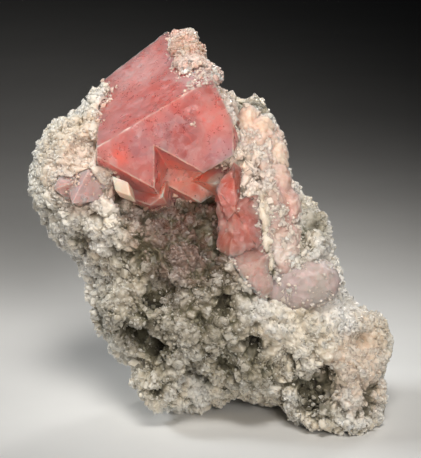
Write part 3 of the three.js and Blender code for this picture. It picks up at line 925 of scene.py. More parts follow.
ROCK_HOLES = (
    Pit((-3.0, -0.5, 8.5), 1.5, 1.4),
    Pit((0.6, -3.0, 9.0), 1.3, 1.3),
    Pit((-11.0, -13.5, 8.0), 1.5, 1.6),
    Pit((-14.5, -20.4, 4.0), 2.4, 2.2),
    Pit((-12.0, -22.0, 4.0), 1.7, 2.2),
    Pit((2.7, -14.2, 9.8), 1.5, 1.6),
    Pit((8.1, -22.5, 7.8), 1.6, 1.8),
    Pit((-10.6, -31.7, 4.5), 1.2, 1.4),
    Pit((-4.6, -27.4, 1.0), 1.5, 2.0),
    Pit((-2.6, -30.0, 1.0), 1.5, 2.0),
    Pit((19.7, -31.7, 4.2), 2.2, 1.7),
    Pit((21.9, -27.9, 6.0), 1.2, 1.2),
    Pit((13.6, -27.5, 6.0), 1.3, 1.4),
    Pit((-22.1, 15.7, 8.0), 0.8, 0.8),
    Pit((24.5, -7.5, 0.0), 1.2, 1.0),
    Pit((-2.0, -17.5, 9.5), 1.0, 1.2),
)


# Sizes of the noises that shape the rock, in mm: its broad swell, the push on its lumps, its
# grit, and the rubble and the two ripples of its holes.
SWELL_SIZE = 8.0
PUSH_SIZE = 2.5
GRIT_SIZE = 1.3
RUBBLE_SIZE = 0.7
RIPPLE_SIZE = 0.9
WAVE_SIZE = 2.0

# Width of the cracks between lumps, as a share of a lump's.
CRACK = 0.3

# How far lumps are pushed out of shape, in mm, and the shifts that take three unlike readings of
# one noise for it.
WARP = 0.9
APART = (Vector((0.0, 0.0, 0.0)), Vector((31.4, 0.0, 0.0)), Vector((0.0, 47.1, 0.0)))

# The rock grows up to a crystal within the first distance, by the second, in mm.
MEET = 1.4
CLIMB = 0.3


@dataclass(frozen=True)
class Relief:
    """The shape of a rough surface: rounded lumps of several sizes, grit and holes.

    Attributes:
        layers: Width and height of each size of lump in mm, and how dark its crevices get, the
            largest first.
        grit: Height of its fine roughness, in mm.
        proud: How far the highest point stands out of the CAD surface, in mm.
        holes: The holes in it.
        calm: Its smoother areas.
    """

    layers: tuple[tuple[float, float, float], ...]
    grit: float
    proud: float
    holes: tuple[Pit, ...] = ()
    calm: tuple[Calm, ...] = ()

    def dome(self, point: Vector, width: float) -> float:
        """Gives the height of rounded cells with cracks between them, 0 to 1.

        Args:
            point: The place, in mm.
            width: Width of a cell, in mm.

        Returns:
            The height.
        """
        (first, second, *_), _ = noise.voronoi(point / width)
        crack = min((second - first) / CRACK, 1.0)
        return max(1.0 - first * first * 1.3, 0.0) * 0.65 + crack * 0.35

    def depth(self, point: Vector) -> tuple[float, float]:
        """Gives how far the surface lies in at a place, and how recessed it is.

        Args:
            point: The place, in mm.

        Returns:
            The depth in mm, and the recess, up to 1 and more in a hole.
        """
        swell = 0.5 + 0.5 * noise.noise(point / SWELL_SIZE)
        push = Vector([noise.noise(point / PUSH_SIZE + apart) for apart in APART])
        warped = point + WARP * push
        grit = noise.fractal(point / GRIT_SIZE, 0.8, 2.1, 4)
        low = -grit * self.grit
        recess = -0.15 * grit
        share = 0.5 + swell
        rough = 1.0
        for area in self.calm:
            away = (point - face_point(*area.at)).length / area.radius
            rough -= area.share / (1.0 + away ** 6)
        for width, height, dark in self.layers:
            lumps = (1.0 - self.dome(warped, width)) * share * rough
            low += (lumps + (1.0 - rough) * 0.45 * share) * height
            recess += lumps * dark
            share = 1.0
        hole = 0.0
        deep = 0.0
        for pit in self.holes:
            away = (warped - face_point(*pit.at)).length / pit.radius
            away += 0.4 * noise.noise(point / RIPPLE_SIZE) + 0.5 * noise.noise(point / WAVE_SIZE)
            share = 1.0 / (1.0 + max(away, 0.0) ** 5)
            rubble = noise.noise(point / RUBBLE_SIZE)
            hole += pit.depth * share * (1.0 + 0.7 * rubble)
            deep = max(deep, share * (1.0 + 0.9 * rubble))
        return low + hole - self.proud, min(max(recess, 0.0), 1.0) + deep

    def carve(self, piece: bpy.types.Object, against: Sequence[bpy.types.Object] = ()) -> None:
        """Gives a finely meshed piece this surface, and keeps its recess for the material.

        Args:
            piece: The piece.
            against: Crystals that the surface grows up to instead of leaving a slit.
        """
        places, normals = points_of(piece)
        found = [self.depth(Vector(place) / MM) for place in places]
        depths, recess = (np.array(column) for column in zip(*found))
        for crystal in against:
            tree = tree_of(crystal)
            for i, place in enumerate(places):
                gap = tree.find_nearest(Vector(place), MEET * MM)[3]
                if gap is not None:
                    share = 1.0 - gap / (MEET * MM)
                    depths[i] = depths[i] * (1.0 - share) - CLIMB * share
        places = in_box(places - normals * depths[:, None] * MM)
        piece.data.vertices.foreach_set("co", places.ravel())
        piece.data.update()
        set_values(piece, "recess", recess)


def set_values(piece: bpy.types.Object, name: str, values: np.ndarray) -> None:
    """Keeps a number for each vertex of a piece, for its material.

    Args:
        piece: The piece.
        name: The attribute's name.
        values: The numbers.
    """
    kept = piece.data.attributes.new(name, "FLOAT", "POINT")
    kept.data.foreach_set("value", values.astype(np.float32))


@dataclass(frozen=True)
class Crystal:
    """A fluorite crystal or group: flat faces with worn edges.

    Attributes:
        node: The CAD node that it replaces.
        finish: Its finish.
        edge: Width of the worn edges, in mm.
        grain: Size of the faces it is divided in, in mm.
        swell: Depth of the uneven growth on its faces, in mm.
        etch: Height of the etched mosaic on its faces, in mm.
        rough: Depth of its overgrown, frosted surface in mm, or 0 for clean faces.
        lumps: Lumps grown on an overgrown crystal.
    """

    node: str
    finish: FluoriteFinish
    edge: float = 0.16
    grain: float = 0.55
    swell: float = 0.12
    etch: float = 0.0
    rough: float = 0.0
    lumps: tuple[Lump, ...] = ()

    def build(self) -> bpy.types.Object:
        """Builds the crystal.

        Returns:
            The finished piece.
        """
        piece = node_copy(self.node, self.node + "_crystal")
        if self.rough:
            self.overgrow(piece)
        else:
            self.facet(piece)
        finish_piece(piece, self.finish.material(), (self.node,), self.node)
        return piece

    def facet(self, piece: bpy.types.Object) -> None:
        """Gives a crystal clean faces with worn edges, uneven growth and an etched mosaic.

        Args:
            piece: The crystal.
        """
        with editing():
            bpy.ops.mesh.dissolve_limited(angle_limit=FLAT)
        edges = self.edges(piece)
        modify(piece, "BEVEL", width=self.edge * MM, segments=2, limit_method="ANGLE",
               angle_limit=SHARP)
        modify(piece, "TRIANGULATE")
        self.divide(piece)
        self.wear(piece, edges)
        modify(piece, "DISPLACE", texture=clouds(self.node + "_swell", 2.2, 4),
               strength=self.swell * MM, mid_level=0.5)
        if self.etch:
            Relief(((3.2, self.etch, 0.1), (1.3, 0.5 * self.etch, 0.1)), 0.3 * self.etch,
                   0.5 * self.etch).carve(piece)
        only(piece)
        bpy.ops.object.shade_smooth_by_angle(angle=math.radians(22.0))

    def overgrow(self, piece: bpy.types.Object) -> None:
        """Gives a crystal the rounded, frosted surface of one that others have grown against.

        Args:
            piece: The crystal.
        """
        join_lumps(piece, (), self.lumps)
        modify(piece, "REMESH", mode="VOXEL", voxel_size=FINE * MM)
        modify(piece, "SMOOTH", factor=0.6, iterations=4)
        Relief(((3.4, 0.7 * self.rough, 0.3), (1.2, 0.35 * self.rough, 0.3)), 0.6 * self.rough,
               0.45).carve(piece)
        only(piece)
        bpy.ops.object.shade_smooth()

    def edges(self, piece: bpy.types.Object) -> list[tuple[np.ndarray, np.ndarray]]:
        """Finds the ends of the edges where two faces meet at an angle.

        Args:
            piece: The crystal.

        Returns:
            The two ends of each edge, in metres.
        """
        mesh = bmesh.new()
        mesh.from_mesh(piece.data)
        found = [tuple(np.array(v.co) for v in e.verts) for e in mesh.edges
                 if e.calc_face_angle(0.0) > SHARP]
        mesh.free()
        return found

    def wear(self, piece: bpy.types.Object, edges: list[tuple[np.ndarray, np.ndarray]]) -> None:
        """Keeps how close each place is to an edge, for the material.

        Args:
            piece: The crystal.
            edges: The two ends of each edge.
        """
        places, _ = points_of(piece)
        worn = np.zeros(len(places))
        for start, end in edges:
            along = end - start
            share = np.clip((places - start) @ along / (along @ along), 0.0, 1.0)
            away = np.linalg.norm(places - start - share[:, None] * along, axis=1)
            worn = np.maximum(worn, np.exp(-(away / (0.3 * MM)) ** 2))
        set_values(piece, "edge", worn)

    def divide(self, piece: bpy.types.Object) -> None:
        """Splits long edges until none is much longer than the grain.

        Args:
            piece: The crystal.
        """
        mesh = bmesh.new()
        mesh.from_mesh(piece.data)
        for _ in range(7):
            long = [e for e in mesh.edges if e.calc_length() > 1.5 * self.grain * MM]
            if not long:
                break
            bmesh.ops.subdivide_edges(mesh, edges=long, cuts=1, use_grid_fill=False)
            bmesh.ops.triangulate(mesh, faces=mesh.faces[:])
        mesh.to_mesh(piece.data)
        mesh.free()


@dataclass(frozen=True)
class RoughBody:
    """A rough, knobby body that replaces a CAD node.

    Attributes:
        node: The CAD node.
        name: The piece's name.
        finish: Its finish.
        relief: Its surface.
        voxel: Cell of its mesh, in mm.
        seed: Seed of its random numbers.
        under: Other CAD nodes that it also fills, below their own pieces.
        lumps: Lumps grown on it.
    """

    node: str
    name: str
    finish: RockFinish
    relief: Relief
    voxel: float
    seed: int
    under: tuple[str, ...] = ()
    lumps: tuple[Lump, ...] = ()

    def build(self, against: Sequence[bpy.types.Object] = ()) -> bpy.types.Object:
        """Builds the body.

        Args:
            against: Crystals that it grows up to.

        Returns:
            The finished piece.
        """
        piece = node_copy(self.node, self.name)
        join_lumps(piece, self.under, self.lumps)
        modify(piece, "REMESH", mode="VOXEL", voxel_size=self.voxel * MM)
        modify(piece, "SMOOTH", factor=0.6, iterations=5)
        self.relief.carve(piece, against)
        triangles = 2 * len(piece.data.polygons)
        if triangles > MOST_TRIANGLES:
            modify(piece, "DECIMATE", ratio=MOST_TRIANGLES / triangles)
        tone = 0.7 * np.random.default_rng(self.seed).random(len(piece.data.vertices))
        set_values(piece, "tone", tone)
        only(piece)
        bpy.ops.object.shade_smooth()
        finish_piece(piece, self.finish.material(), (self.node,), self.node)
        return piece


# A grain's place lies this close to the surface that it grows on, and only solids closer than the
# second distance matter to it, in mm.
HOLD = 0.6
HEED = 3.0


def seats(piece: bpy.types.Object, spacing: float) -> tuple[np.ndarray, np.ndarray, np.ndarray]:
    """Finds evenly spread places on a rough body for its grains.

    Args:
        piece: The body.
        spacing: Distance between places, in mm.

    Returns:
        The places, the normals and the recess at each.
    """
    carrier = add_object("carrier", piece.data.copy())
    modify(carrier, "REMESH", mode="VOXEL", voxel_size=spacing * MM)
    places, normals = points_of(carrier)
    bpy.data.objects.remove(carrier)
    known, _ = points_of(piece)
    recess = np.zeros(len(known), np.float32)
    if "recess" in piece.data.attributes:
        piece.data.attributes["recess"].data.foreach_get("value", recess)
    tree = KDTree(len(known))
    for index, place in enumerate(known):
        tree.insert(place, index)
    tree.balance()
    found = [tree.find(place) for place in places]
    close = np.array([gap < HOLD * MM for _, _, gap in found])
    nearest = np.array([index for _, index, _ in found])
    return places[close], normals[close], recess[nearest[close]]


def tree_of(piece: bpy.types.Object) -> BVHTree:
    """Makes a search tree of an object's faces."""
    return BVHTree.FromPolygons([v.co.copy() for v in piece.data.vertices],
                                [tuple(f.vertices) for f in piece.data.polygons])


def outside(places: np.ndarray, solids: Sequence[bpy.types.Object], margin: float) -> np.ndarray:
    """Finds the places that lie outside every solid.

    Args:
        places: The places.
        solids: The solids.
        margin: How far outside they have to be, in mm.

    Returns:
        True for each place that is clear.
    """
    keep = np.ones(len(places), bool)
    for solid in solids:
        tree = tree_of(solid)
        for i in np.flatnonzero(keep):
            point = Vector(places[i])
            near, normal, _, _ = tree.find_nearest(point, HEED * MM)
            if near is not None and (point - near).dot(normal) < margin * MM:
                keep[i] = False
    return keep


class GrainShape(Enum):
    """The forms that a feldspar grain comes in."""

    PEBBLE = "pebble"
    RHOMB = "rhomb"
    WEDGE = "wedge"


class GrainMold:
    """Models one grain of each form, to be copied."""

    def model(self, form: GrainShape) -> tuple[np.ndarray, np.ndarray]:
        """Models a grain with a half width of about 1.

        Args:
            form: Its form.

        Returns:
            Its places, and the corners of its triangles.
        """
        bpy.ops.object.select_all(action="DESELECT")
        if form is GrainShape.PEBBLE:
            bpy.ops.mesh.primitive_ico_sphere_add(subdivisions=1, radius=1.15)
        else:
            bpy.ops.mesh.primitive_cube_add(size=2.0)
        grain = bpy.context.object
        with editing():
            if form is GrainShape.PEBBLE:
                bpy.ops.transform.resize(value=(1.0, 0.85, 0.9))
            elif form is GrainShape.WEDGE:
                self.cut((0.9, 0.6, 1.0), 1.05)
            else:
                self.slant((0.5, 0.25))
                bpy.ops.mesh.select_all(action="SELECT")
                bpy.ops.transform.resize(value=(1.0, 0.85, 0.95))
        modify(grain, "TRIANGULATE")
        places, _ = points_of(grain)
        corners = np.array([tuple(f.vertices) for f in grain.data.polygons])
        bpy.data.objects.remove(grain)
        return places, corners

    def cut(self, normal: Point, distance: float) -> None:
        """Cuts a corner off the grain in edit mode and closes it.

        Args:
            normal: The normal of the cut.
            distance: Its distance from the middle.
        """
        unit = Vector(normal).normalized()
        bpy.ops.mesh.bisect(plane_co=unit * distance, plane_no=unit, use_fill=True,
                            clear_outer=True)

    def slant(self, shift: tuple[float, float]) -> None:
        """Moves the grain's top face sideways in edit mode.

        Args:
            shift: How far it moves along x and y.
        """
        edit = bmesh.from_edit_mesh(bpy.context.object.data)
        for vertex in edit.verts:
            vertex.select = vertex.co.z > 0.0
        edit.select_flush_mode()
        bpy.ops.transform.translate(value=(*shift, 0.0))


# How far grains stray from their places, in mm, how much smaller they are in a recess, how few of
# them are large, and the least and the spread of their stretch along each axis.
STRAY = 0.14
SHRINK = 0.25
FEW = 3.0
STRETCH = 0.7
STRETCH_SPREAD = 0.6


@dataclass(frozen=True)
class GrainCoat:
    """A coat of small crystals over a surface, as one joined mesh.

    Attributes:
        name: The piece's name.
        finish: Its finish.
        slot: Its material slot.
        small: Smallest half width of a grain, in mm.
        large: Largest half width of a grain, in mm.
        sink: How deep a grain's middle lies, as a share of its half width.
        seed: Seed of its random numbers.
        forms: The forms that its grains come in.
        lean: How far the grains lean from upright.
    """

    name: str
    finish: RockFinish
    slot: str
    small: float
    large: float
    sink: float
    seed: int
    forms: tuple[GrainShape, ...] = (GrainShape.PEBBLE, GrainShape.PEBBLE, GrainShape.RHOMB)
    lean: float = 0.5

    def build(self, places: np.ndarray, normals: np.ndarray,
              recess: np.ndarray) -> bpy.types.Object:
        """Builds the coat.

        Args:
            places: Where the grains sit, in metres.
            normals: Which way each grows.
            recess: How recessed each is, 0 to 1.

        Returns:
            The finished piece.
        """
        rng = np.random.default_rng(self.seed)
        mold = GrainMold()
        kinds = rng.integers(0, len(self.forms), len(places))
        spots = places + rng.normal(scale=STRAY * MM, size=places.shape)
        sizes = self.small + (self.large - self.small) * rng.random(len(places)) ** FEW
        sizes *= 1.0 - SHRINK * np.minimum(recess, 1.0)
        tones = rng.random(len(places))
        made: list[tuple[np.ndarray, ...]] = []
        smooth: list[bool] = []
        start = 0
        for kind, form in enumerate(self.forms):
            shape, corners = mold.model(form)
            chosen = np.flatnonzero(kinds == kind)
            turned = self.turn(shape, normals[chosen], rng)
            stretch = STRETCH + STRETCH_SPREAD * rng.random((len(chosen), 1, 3))
            size = sizes[chosen][:, None] * MM
            middle = spots[chosen] - normals[chosen] * size * self.sink
            co = turned * stretch * size[:, :, None] + middle[:, None, :]
            offsets = start + np.arange(len(chosen)) * len(shape)
            made.append((co.reshape(-1, 3),
                         (corners[None] + offsets[:, None, None]).reshape(-1, 3),
                         np.repeat(recess[chosen], len(shape)),
                         np.repeat(tones[chosen], len(shape))))
            smooth += [form is GrainShape.PEBBLE] * (len(chosen) * len(corners))
            start += len(chosen) * len(shape)
        co, faces, low, tone = (np.concatenate(column) for column in zip(*made))
        mesh = bpy.data.meshes.new(self.name)
        mesh.from_pydata(in_box(co).tolist(), [], faces.tolist())
        mesh.polygons.foreach_set("use_smooth", smooth)
        piece = add_object(self.name, mesh)
        set_values(piece, "recess", low)
        set_values(piece, "tone", tone)
        finish_piece(piece, self.finish.material(), (), self.slot)
        return piece

    def turn(self, shape: np.ndarray, normals: np.ndarray, rng: np.random.Generator) -> np.ndarray:
        """Turns copies of a grain to grow along the normals, each with its own lean and spin.

        Args:
            shape: The grain's places.
            normals: The normals.
            rng: Source of random numbers.

        Returns:
            The turned places, one set a grain.
        """
        up = normals + self.lean * rng.normal(size=normals.shape)
        up /= np.linalg.norm(up, axis=1, keepdims=True)
        side = np.cross(up, rng.normal(size=up.shape))
        side /= np.linalg.norm(side, axis=1, keepdims=True)
        across = np.cross(up, side)
        return (shape[None, :, 0:1] * side[:, None] + shape[None, :, 1:2] * across[:, None]
                + shape[None, :, 2:3] * up[:, None])


@dataclass(frozen=True)
class Patch:
    """An area of a crystal that grains cover.

    Attributes:
        at: Its middle as right, up and out on the display face, in mm.
        radius: Half its width, in mm.
    """

    at: Point
    radius: float


CRUST_GRAINS = RockFinish("crust_grains", 0.15, CRUST_CREAM, 0.6, 0.9)
FROST_GRAINS = RockFinish("frost_grains", 0.0, FROST, 0.85, 0.8)

# The crystals that the rock also fills below, so that no gap shows round them.
BURIED = ("rear_fluorite", "flank_fluorite", "fluorite_nodule")

RIDGE_LUMPS = (
    Lump((7.0, 7.4, 9.2), (1.8, 3.2, 2.6)),
    Lump((6.4, 13.6, 9.6), (1.5, 2.4, 2.4)),
    Lump((8.0, 10.6, 9.2), (1.6, 2.6, 2.6)),
    Lump((10.0, 7.0, 9.4), (1.9, 2.6, 2.6)),
    Lump((10.0, 2.6, 9.8), (1.5, 3.2, 2.6)),
    Lump((10.6, -2.2, 10.2), (1.5, 3.0, 2.6)),
    Lump((11.8, -6.6, 9.8), (1.3, 2.6, 2.4)),
)


@dataclass(frozen=True)
class SummitCrust:
    """The crust of fine crystals on the main crystal's shoulder.

    Attributes:
        body_finish: Finish of its body.
        grain_finish: Finish of its grains.
        relief: Its surface.
        spacing: Distance between grains, in mm.
        bury: How deep in the main crystal a grain may still sit, in mm.
    """

    body_finish: RockFinish = RockFinish("crust_body", 0.2, CRUST_PINK, 0.6, 0.8)
    grain_finish: RockFinish = CRUST_GRAINS
    relief: Relief = Relief(((2.0, 0.7, 0.4), (0.9, 0.35, 0.3)), 0.2, 0.3)
    spacing: float = 0.5
    bury: float = 0.2

    def build(self, main_crystal: bpy.types.Object) -> bpy.types.Object:
        """Builds the body and its grains.

        Args:
            main_crystal: The crystal that it sits on.

        Returns:
            The body.
        """
        body = RoughBody("summit_crust", "summit_crust_body", self.body_finish, self.relief,
                         voxel=FINE, seed=4).build()
        places, normals, recess = seats(body, self.spacing)
        keep = outside(places, [main_crystal], -self.bury)
        GrainCoat("crust_grains", self.grain_finish, "summit_crust", small=0.14, large=0.4,
                  sink=0.45, seed=31).build(places[keep], normals[keep], recess[keep])
        return body


@dataclass(frozen=True)
class AlbiteMatrix:
    """The albite matrix: a knobby body under coats of small crystals.

    Attributes:
        spacing: Distance between grains, in mm.
        clump: Size of the clumps that the grains stand in, in mm.
        cover: Share of the places that have a grain.
        patchy: How far that share swings from clump to clump.
        bare: How bare the crevices are, 0 to 1.
        big: Share of the grains that have a large crystal with them.
        foot: Height of the bare strip at the floor, in mm.
        body_finish: Finish of its body.
        grain_finish: Finish of its grains.
        relief: Its surface.
    """

    spacing: float = 0.62
    clump: float = 3.0
    cover: float = 0.7
    patchy: float = 1.2
    bare: float = 0.65
    big: float = 0.06
    foot: float = 0.4
    body_finish: RockFinish = RockFinish("matrix_rock", 0.7, GREY, 0.1, 0.8, dark=1.0)
    grain_finish: RockFinish = RockFinish("albite_grains", 0.7, WHITE, 0.08, 0.9)
    relief: Relief = Relief(((4.4, 2.4, 0.6), (1.9, 1.3, 0.5), (0.9, 0.4, 0.15)), 0.25, 1.0,
                            ROCK_HOLES, ROCK_CALM)

    def build(self, crystals: Sequence[bpy.types.Object]) -> bpy.types.Object:
        """Builds the body and its coats.

        Args:
            crystals: The crystals that the grains keep clear of.

        Returns:
            The body.
        """
        seated = [c for c in crystals if c.name.removesuffix("_crystal") not in BURIED]
        body = RoughBody("matrix", "matrix_rock", self.body_finish, self.relief, voxel=0.3, seed=3,
                         under=(*BURIED, "summit_crust"), lumps=RIDGE_LUMPS).build(seated)
        places, normals, recess = seats(body, self.spacing)
        clumps = np.array([noise.noise(Vector(place) / (self.clump * MM)) for place in places])
        rng = np.random.default_rng(9)
        crevice = np.clip((recess - 0.5) / 0.3, 0.0, 1.0) * (recess < 1.0)
        share = (self.cover + self.patchy * clumps) * (1.0 - self.bare * crevice)
        keep = rng.random(len(places)) < share
        keep &= outside(places, crystals, 0.0) & (places[:, 2] > self.foot * MM)
        places, normals, recess = places[keep], normals[keep], recess[keep]
        for part, name in enumerate(("albite_sugar", "albite_grains", "albite_frost")):
            third = np.arange(part, len(places), 3)
            GrainCoat(name, self.grain_finish, "matrix", small=0.16, large=0.55, sink=0.5,
                      seed=5 + part).build(places[third], normals[third], recess[third])
        picked = rng.random(len(places)) < self.big * (1.0 - np.minimum(recess, 1.0))
        GrainCoat("albite_crystals", self.grain_finish, "matrix", small=0.4, large=0.8, sink=0.45,
                  seed=8, forms=(GrainShape.PEBBLE, GrainShape.PEBBLE, GrainShape.WEDGE)).build(
            places[picked], normals[picked], recess[picked])
        return body


@dataclass(frozen=True)
class Fringe:
    """Small grains that creep from the rock over the edges of a crystal.

    Attributes:
        node: The crystal's CAD node.
        reach: How far they get from the rock, in mm.
        finish: Their finish.
        seed: Seed of its random numbers.
        patches: Other areas that they cover.
        cover: How much of the whole crystal they cover, 0 to 1.
        large: Largest half width of a grain, in mm.
        spacing: Distance between grains, in mm.
    """

    node: str
    reach: float
    finish: RockFinish
    seed: int
    patches: tuple[Patch, ...] = ()
    cover: float = 0.0
    large: float = 0.42
    spacing: float = 0.48

    def build(self, crystal: bpy.types.Object,
              bodies: Sequence[bpy.types.Object]) -> bpy.types.Object:
        """Builds the grains.

        Args:
            crystal: The crystal.
            bodies: The rough bodies that they creep from.

        Returns:
            The finished piece.
        """
        rng = np.random.default_rng(self.seed)
        places, normals, recess = seats(crystal, self.spacing)
        keep = outside(places, bodies, 0.0)
        places, normals, recess = places[keep], normals[keep], recess[keep]
        reach = self.reach * MM
        gaps = np.full(len(places), reach)
        for body in bodies:
            tree = tree_of(body)
            for i, place in enumerate(places):
                gaps[i] = min(gaps[i], tree.find_nearest(Vector(place), reach)[3] or gaps[i])
        close = gaps < reach * rng.random(len(places)) ** 1.5
        close |= rng.random(len(places)) < self.cover
        for patch in self.patches:
            away = np.linalg.norm(places / MM - np.array(face_point(*patch.at)), axis=1)
            close |= away < patch.radius * (0.6 + 0.4 * rng.random(len(places)))
        return GrainCoat(crystal.name + "_fringe", self.finish, "matrix", small=0.14,
                         large=self.large, sink=0.4, seed=self.seed).build(
            places[close], normals[close], recess[close])


# ---------------------------------------------------------------------------------------------
# Studio
# ---------------------------------------------------------------------------------------------


@dataclass(frozen=True)
class Softbox:
    """A soft light.

    Attributes:
        name: Its name.
        at: Where it stands, in metres.
        target: What it faces.
        size: Its width.
        power: Its power in watts.
        color: Its colour.
        cone: Angle that it lights, in degrees.
    """

    name: str
    at: Point
    target: Point
    size: float
    power: float
    color: Tone
    cone: float

    def build(self) -> None:
        """Adds the light."""
        data = bpy.data.lights.new(self.name, "AREA")
        data.shape = "SQUARE"
        data.size = self.size
        data.energy = self.power
        data.color = self.color
        data.spread = math.radians(self.cone)
        light = add_object(self.name, data)
        light.location = self.at
        aim = Vector(self.target) - Vector(self.at)
        light.rotation_euler = aim.to_track_quat("-Z", "Y").to_euler()


MIDDLE = (-0.0001, -0.0037, 0.038)
LIGHTS = (
    Softbox("key_light", (0.0, -0.20, 0.34), (-0.005, 0.02, 0.03), 0.15, 0.056,
            (1.0, 0.97, 0.93), 27.0),
    Softbox("fill_light", (0.07, -0.34, 0.19), (0.0, -0.0037, 0.045), 0.17, 0.044,
            (1.0, 0.96, 0.92), 22.0),
    Softbox("rim_light", (-0.24, 0.03, 0.26), MIDDLE, 0.13, 0.030, (0.95, 0.98, 1.0), 24.0),
    Softbox("low_light", (-0.05, -0.26, 0.022), (-0.004, -0.019, 0.051), 0.036, 0.0024,
            (1.0, 0.80, 0.68), 12.0),
    Softbox("back_light", (0.17, 0.30, 0.22), MIDDLE, 0.15, 0.022, (1.0, 0.98, 0.95), 22.0),
)


@dataclass(frozen=True)
class Studio:
    """A pale floor, soft lights and the camera.

    Attributes:
        target: What the camera looks at, in metres.
        distance: How far the camera is from it.
        rise: The camera's height above the horizon, as an angle.
        sensor: The long side of the camera's picture, in mm.
        lens: Focal length, in mm.
        floor_radius: Radius of the floor.
        lights: The lights.
    """

    target: Point = MIDDLE
    distance: float = 0.45
    rise: float = math.radians(15.0)
    sensor: float = 36.0
    lens: float = 2322.0 * 36.0 / 458.0
    floor_radius: float = 2.0
    lights: tuple[Softbox, ...] = LIGHTS

    def build(self) -> None:
        """Builds the floor, lights, world and camera."""
        scene = bpy.context.scene
        scene.view_settings.view_transform = "Standard"
        self.camera(scene)
        self.floor()
        self.world(scene)
        for light in self.lights:
            light.build()

    def camera(self, scene: bpy.types.Scene) -> None:
        """Adds the camera.

        Args:
            scene: The scene.
        """
        back = Vector((0.0, -math.cos(self.rise), math.sin(self.rise)))
        data = bpy.data.cameras.new("camera")
        data.lens = self.lens
        data.sensor_width = self.sensor
        data.clip_start = 0.01
        camera = add_object("camera", data)
        camera.location = Vector(self.target) + back * self.distance
        camera.rotation_euler = (-back).to_track_quat("-Z", "Y").to_euler()
        scene.camera = camera

    def floor(self) -> None:
        """Adds the pale floor."""
        bpy.ops.object.select_all(action="DESELECT")
        bpy.ops.mesh.primitive_circle_add(vertices=64, radius=self.floor_radius, fill_type="NGON")
        floor = bpy.context.object
        floor.name = "floor"
        g = Graph("floor_paper")
        tint = g.blend(g.spread(g.noise(40.0, 3.0), 0.3, 0.7), PAPER, PAPER_SHADE)
        g.principled(Base_Color=tint, Roughness=0.55, Normal=g.bump(g.noise(1.5, 2.0), 0.01))
        floor.data.materials.append(g.material)

    def world(self, scene: bpy.types.Scene) -> None:
        """Sets a dim surrounding.

        Args:
            scene: The scene.
        """
        world = bpy.data.worlds.new("studio")
        world.use_nodes = True
        shade = world.node_tree.nodes["Background"]
        shade.inputs["Color"].default_value = (0.9, 0.95, 1.0, 1.0)
        shade.inputs["Strength"].default_value = 0.004
        scene.world = world


# ---------------------------------------------------------------------------------------------
# The specimen
# ---------------------------------------------------------------------------------------------

PALE_SCATTER = (1.0, 0.86, 0.78)

SALMON_ZONES = (
    Zone((3.0, 7.0, 14.5), 2.8, 2.0, EMBER, 0.85),
    Zone((6.5, 0.5, 14.2), 2.0, 2.5, BRICK, 0.8),
    Zone((8.1, -10.0, 10.5), 5.0, 3.0, FAWN, 0.85),
    Zone((9.5, 4.0, 12.0), 2.0, 2.0, PEARL, 0.6),
    Zone((3.6, 1.0, 13.0), 1.2, 1.5, PEARL, 0.5),
)
FLANK_ZONES = (
    Zone((14.5, 2.0, 7.0), 2.4, 3.0, ROSE, 0.45),
    Zone((12.8, 11.0, 5.5), 1.0, 1.2, MAUVE, 0.8),
    Zone((14.8, 8.6, 5.0), 1.1, 1.2, MAUVE, 0.8),
    Zone((16.6, 5.8, 4.5), 1.1, 1.2, MAUVE, 0.7),
    Zone((13.0, 3.0, 8.0), 2.0, 2.5, DUSK, 0.3),
    Zone((13.5, -4.0, 8.7), 3.0, 3.0, SNOW, 0.5),
)
FLANK_LUMPS = (
    Lump((12.6, 9.0, 5.4), (2.8, 3.6, 3.2)),
    Lump((14.6, 3.6, 4.8), (2.6, 4.2, 3.2)),
    Lump((14.2, -2.6, 6.2), (2.6, 4.6, 3.0)),
    Lump((13.6, -6.6, 7.4), (2.0, 2.6, 2.6)),
)
REAR_LUMPS = (
    Lump((7.2, 20.0, 3.6), (2.2, 3.6, 3.0)),
    Lump((9.6, 17.5, 3.8), (3.0, 4.2, 3.0)),
    Lump((12.0, 13.5, 3.0), (3.0, 4.2, 3.0)),
    Lump((9.0, 13.2, 5.6), (3.0, 2.6, 3.0)),
)
NODULE_LUMPS = (Lump((20.6, -9.4, 7.2), (2.2, 2.4, 2.0)),)

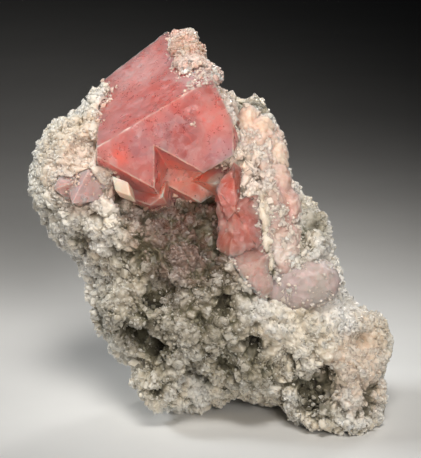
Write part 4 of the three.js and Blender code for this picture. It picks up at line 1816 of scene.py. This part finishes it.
CRYSTALS = (
    Crystal("main_fluorite", FluoriteFinish(
        "rose_fluorite", ROSE, SALMON, clear=0.5, frost=0.38, passed=(0.98, 0.7, 0.66),
        density=40.0, marks=1.0, zones=ROSE_ZONES, spread=9.0, rim=0.85),
        grain=0.42, etch=0.14),
    Crystal("lower_fluorite", FluoriteFinish(
        "salmon_fluorite", CLAY, RED_CLAY, clear=0.45, frost=0.4, passed=(0.98, 0.72, 0.68),
        density=40.0, marks=0.2, zones=SALMON_ZONES, spread=5.0),
        grain=0.4, swell=0.3, etch=0.42),
    Crystal("flank_fluorite", FluoriteFinish(
        "pale_fluorite", BISQUE, DUSTY_ROSE, clear=0.08, frost=0.5, passed=(0.96, 0.85, 0.82),
        density=15.0, zones=FLANK_ZONES, scatter=PALE_SCATTER),
        rough=0.7, lumps=FLANK_LUMPS),
    Crystal("rear_fluorite", FluoriteFinish(
        "white_fluorite", IVORY, PEACH, clear=0.08, frost=0.5, passed=(0.96, 0.87, 0.84),
        density=15.0, scatter=PALE_SCATTER),
        rough=0.8, lumps=REAR_LUMPS),
    Crystal("lilac_fluorite", FluoriteFinish(
        "lilac_fluorite", LILAC, PALE_ROSE, clear=0.45, frost=0.25, passed=(0.94, 0.88, 0.9),
        density=15.0)),
    Crystal("fluorite_nodule", FluoriteFinish(
        "nodule_fluorite", DOVE, DOVE_PINK, clear=0.1, frost=0.42, passed=(0.92, 0.85, 0.87),
        density=20.0, scatter=PALE_SCATTER),
        rough=0.3, lumps=NODULE_LUMPS),
    Crystal("adularia_rhomb", FluoriteFinish(
        "adularia", TAN, CREAM, clear=0.25, frost=0.35, passed=(0.95, 0.9, 0.8), density=30.0)),
)

SUMMIT_PATCHES = (
    Patch((-0.5, 29.0, 14.5), 4.2),
    Patch((-3.5, 32.0, 10.0), 3.6),
    Patch((-6.0, 35.0, 3.0), 3.2),
    Patch((-3.5, 27.5, 15.5), 2.2),
    Patch((-3.3, 19.7, 16.3), 0.7),
    Patch((0.6, 12.0, 15.2), 0.45),
    Patch((-20.4, 25.0, 4.0), 1.6),
    Patch((-20.6, 19.5, 9.0), 1.3),
    Patch((-19.8, 13.5, 13.0), 1.0),
)
LOWER_PATCHES = (
    Patch((9.6, 5.0, 11.5), 2.4),
    Patch((9.8, 0.5, 12.0), 2.0),
    Patch((5.0, 3.4, 14.0), 1.0),
)
LILAC_PATCHES = (Patch((-26.0, 9.5, 12.0), 2.0), Patch((-22.0, 10.0, 12.0), 1.4))
NODULE_PATCHES = (
    Patch((14.0, -14.2, 8.5), 1.5),
    Patch((18.5, -14.6, 8.0), 1.7),
    Patch((22.0, -12.0, 6.5), 1.2),
)

FRINGES = (
    Fringe("main_fluorite", 1.6, CRUST_GRAINS, 40, SUMMIT_PATCHES),
    Fringe("lower_fluorite", 1.2, FROST_GRAINS, 41, LOWER_PATCHES),
    Fringe("flank_fluorite", 0.6, FROST_GRAINS, 42, cover=0.01, large=0.7),
    Fringe("rear_fluorite", 0.6, FROST_GRAINS, 43, cover=0.01, large=0.7),
    Fringe("lilac_fluorite", 0.5, CRUST_GRAINS, 44, LILAC_PATCHES, cover=0.02, large=0.36),
    Fringe("fluorite_nodule", 0.7, FROST_GRAINS, 45, NODULE_PATCHES),
)


def main() -> None:
    """Builds the specimen in order and reports each piece."""
    logging.basicConfig(level=logging.INFO, format="%(message)s")
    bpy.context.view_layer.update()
    Studio().build()
    crystals = {crystal.node: crystal.build() for crystal in CRYSTALS}
    crust = SummitCrust().build(crystals["main_fluorite"])
    rock = AlbiteMatrix().build(list(crystals.values()))
    for fringe in FRINGES:
        fringe.build(crystals[fringe.node], [rock, crust])


if __name__ == "__main__":
    main()
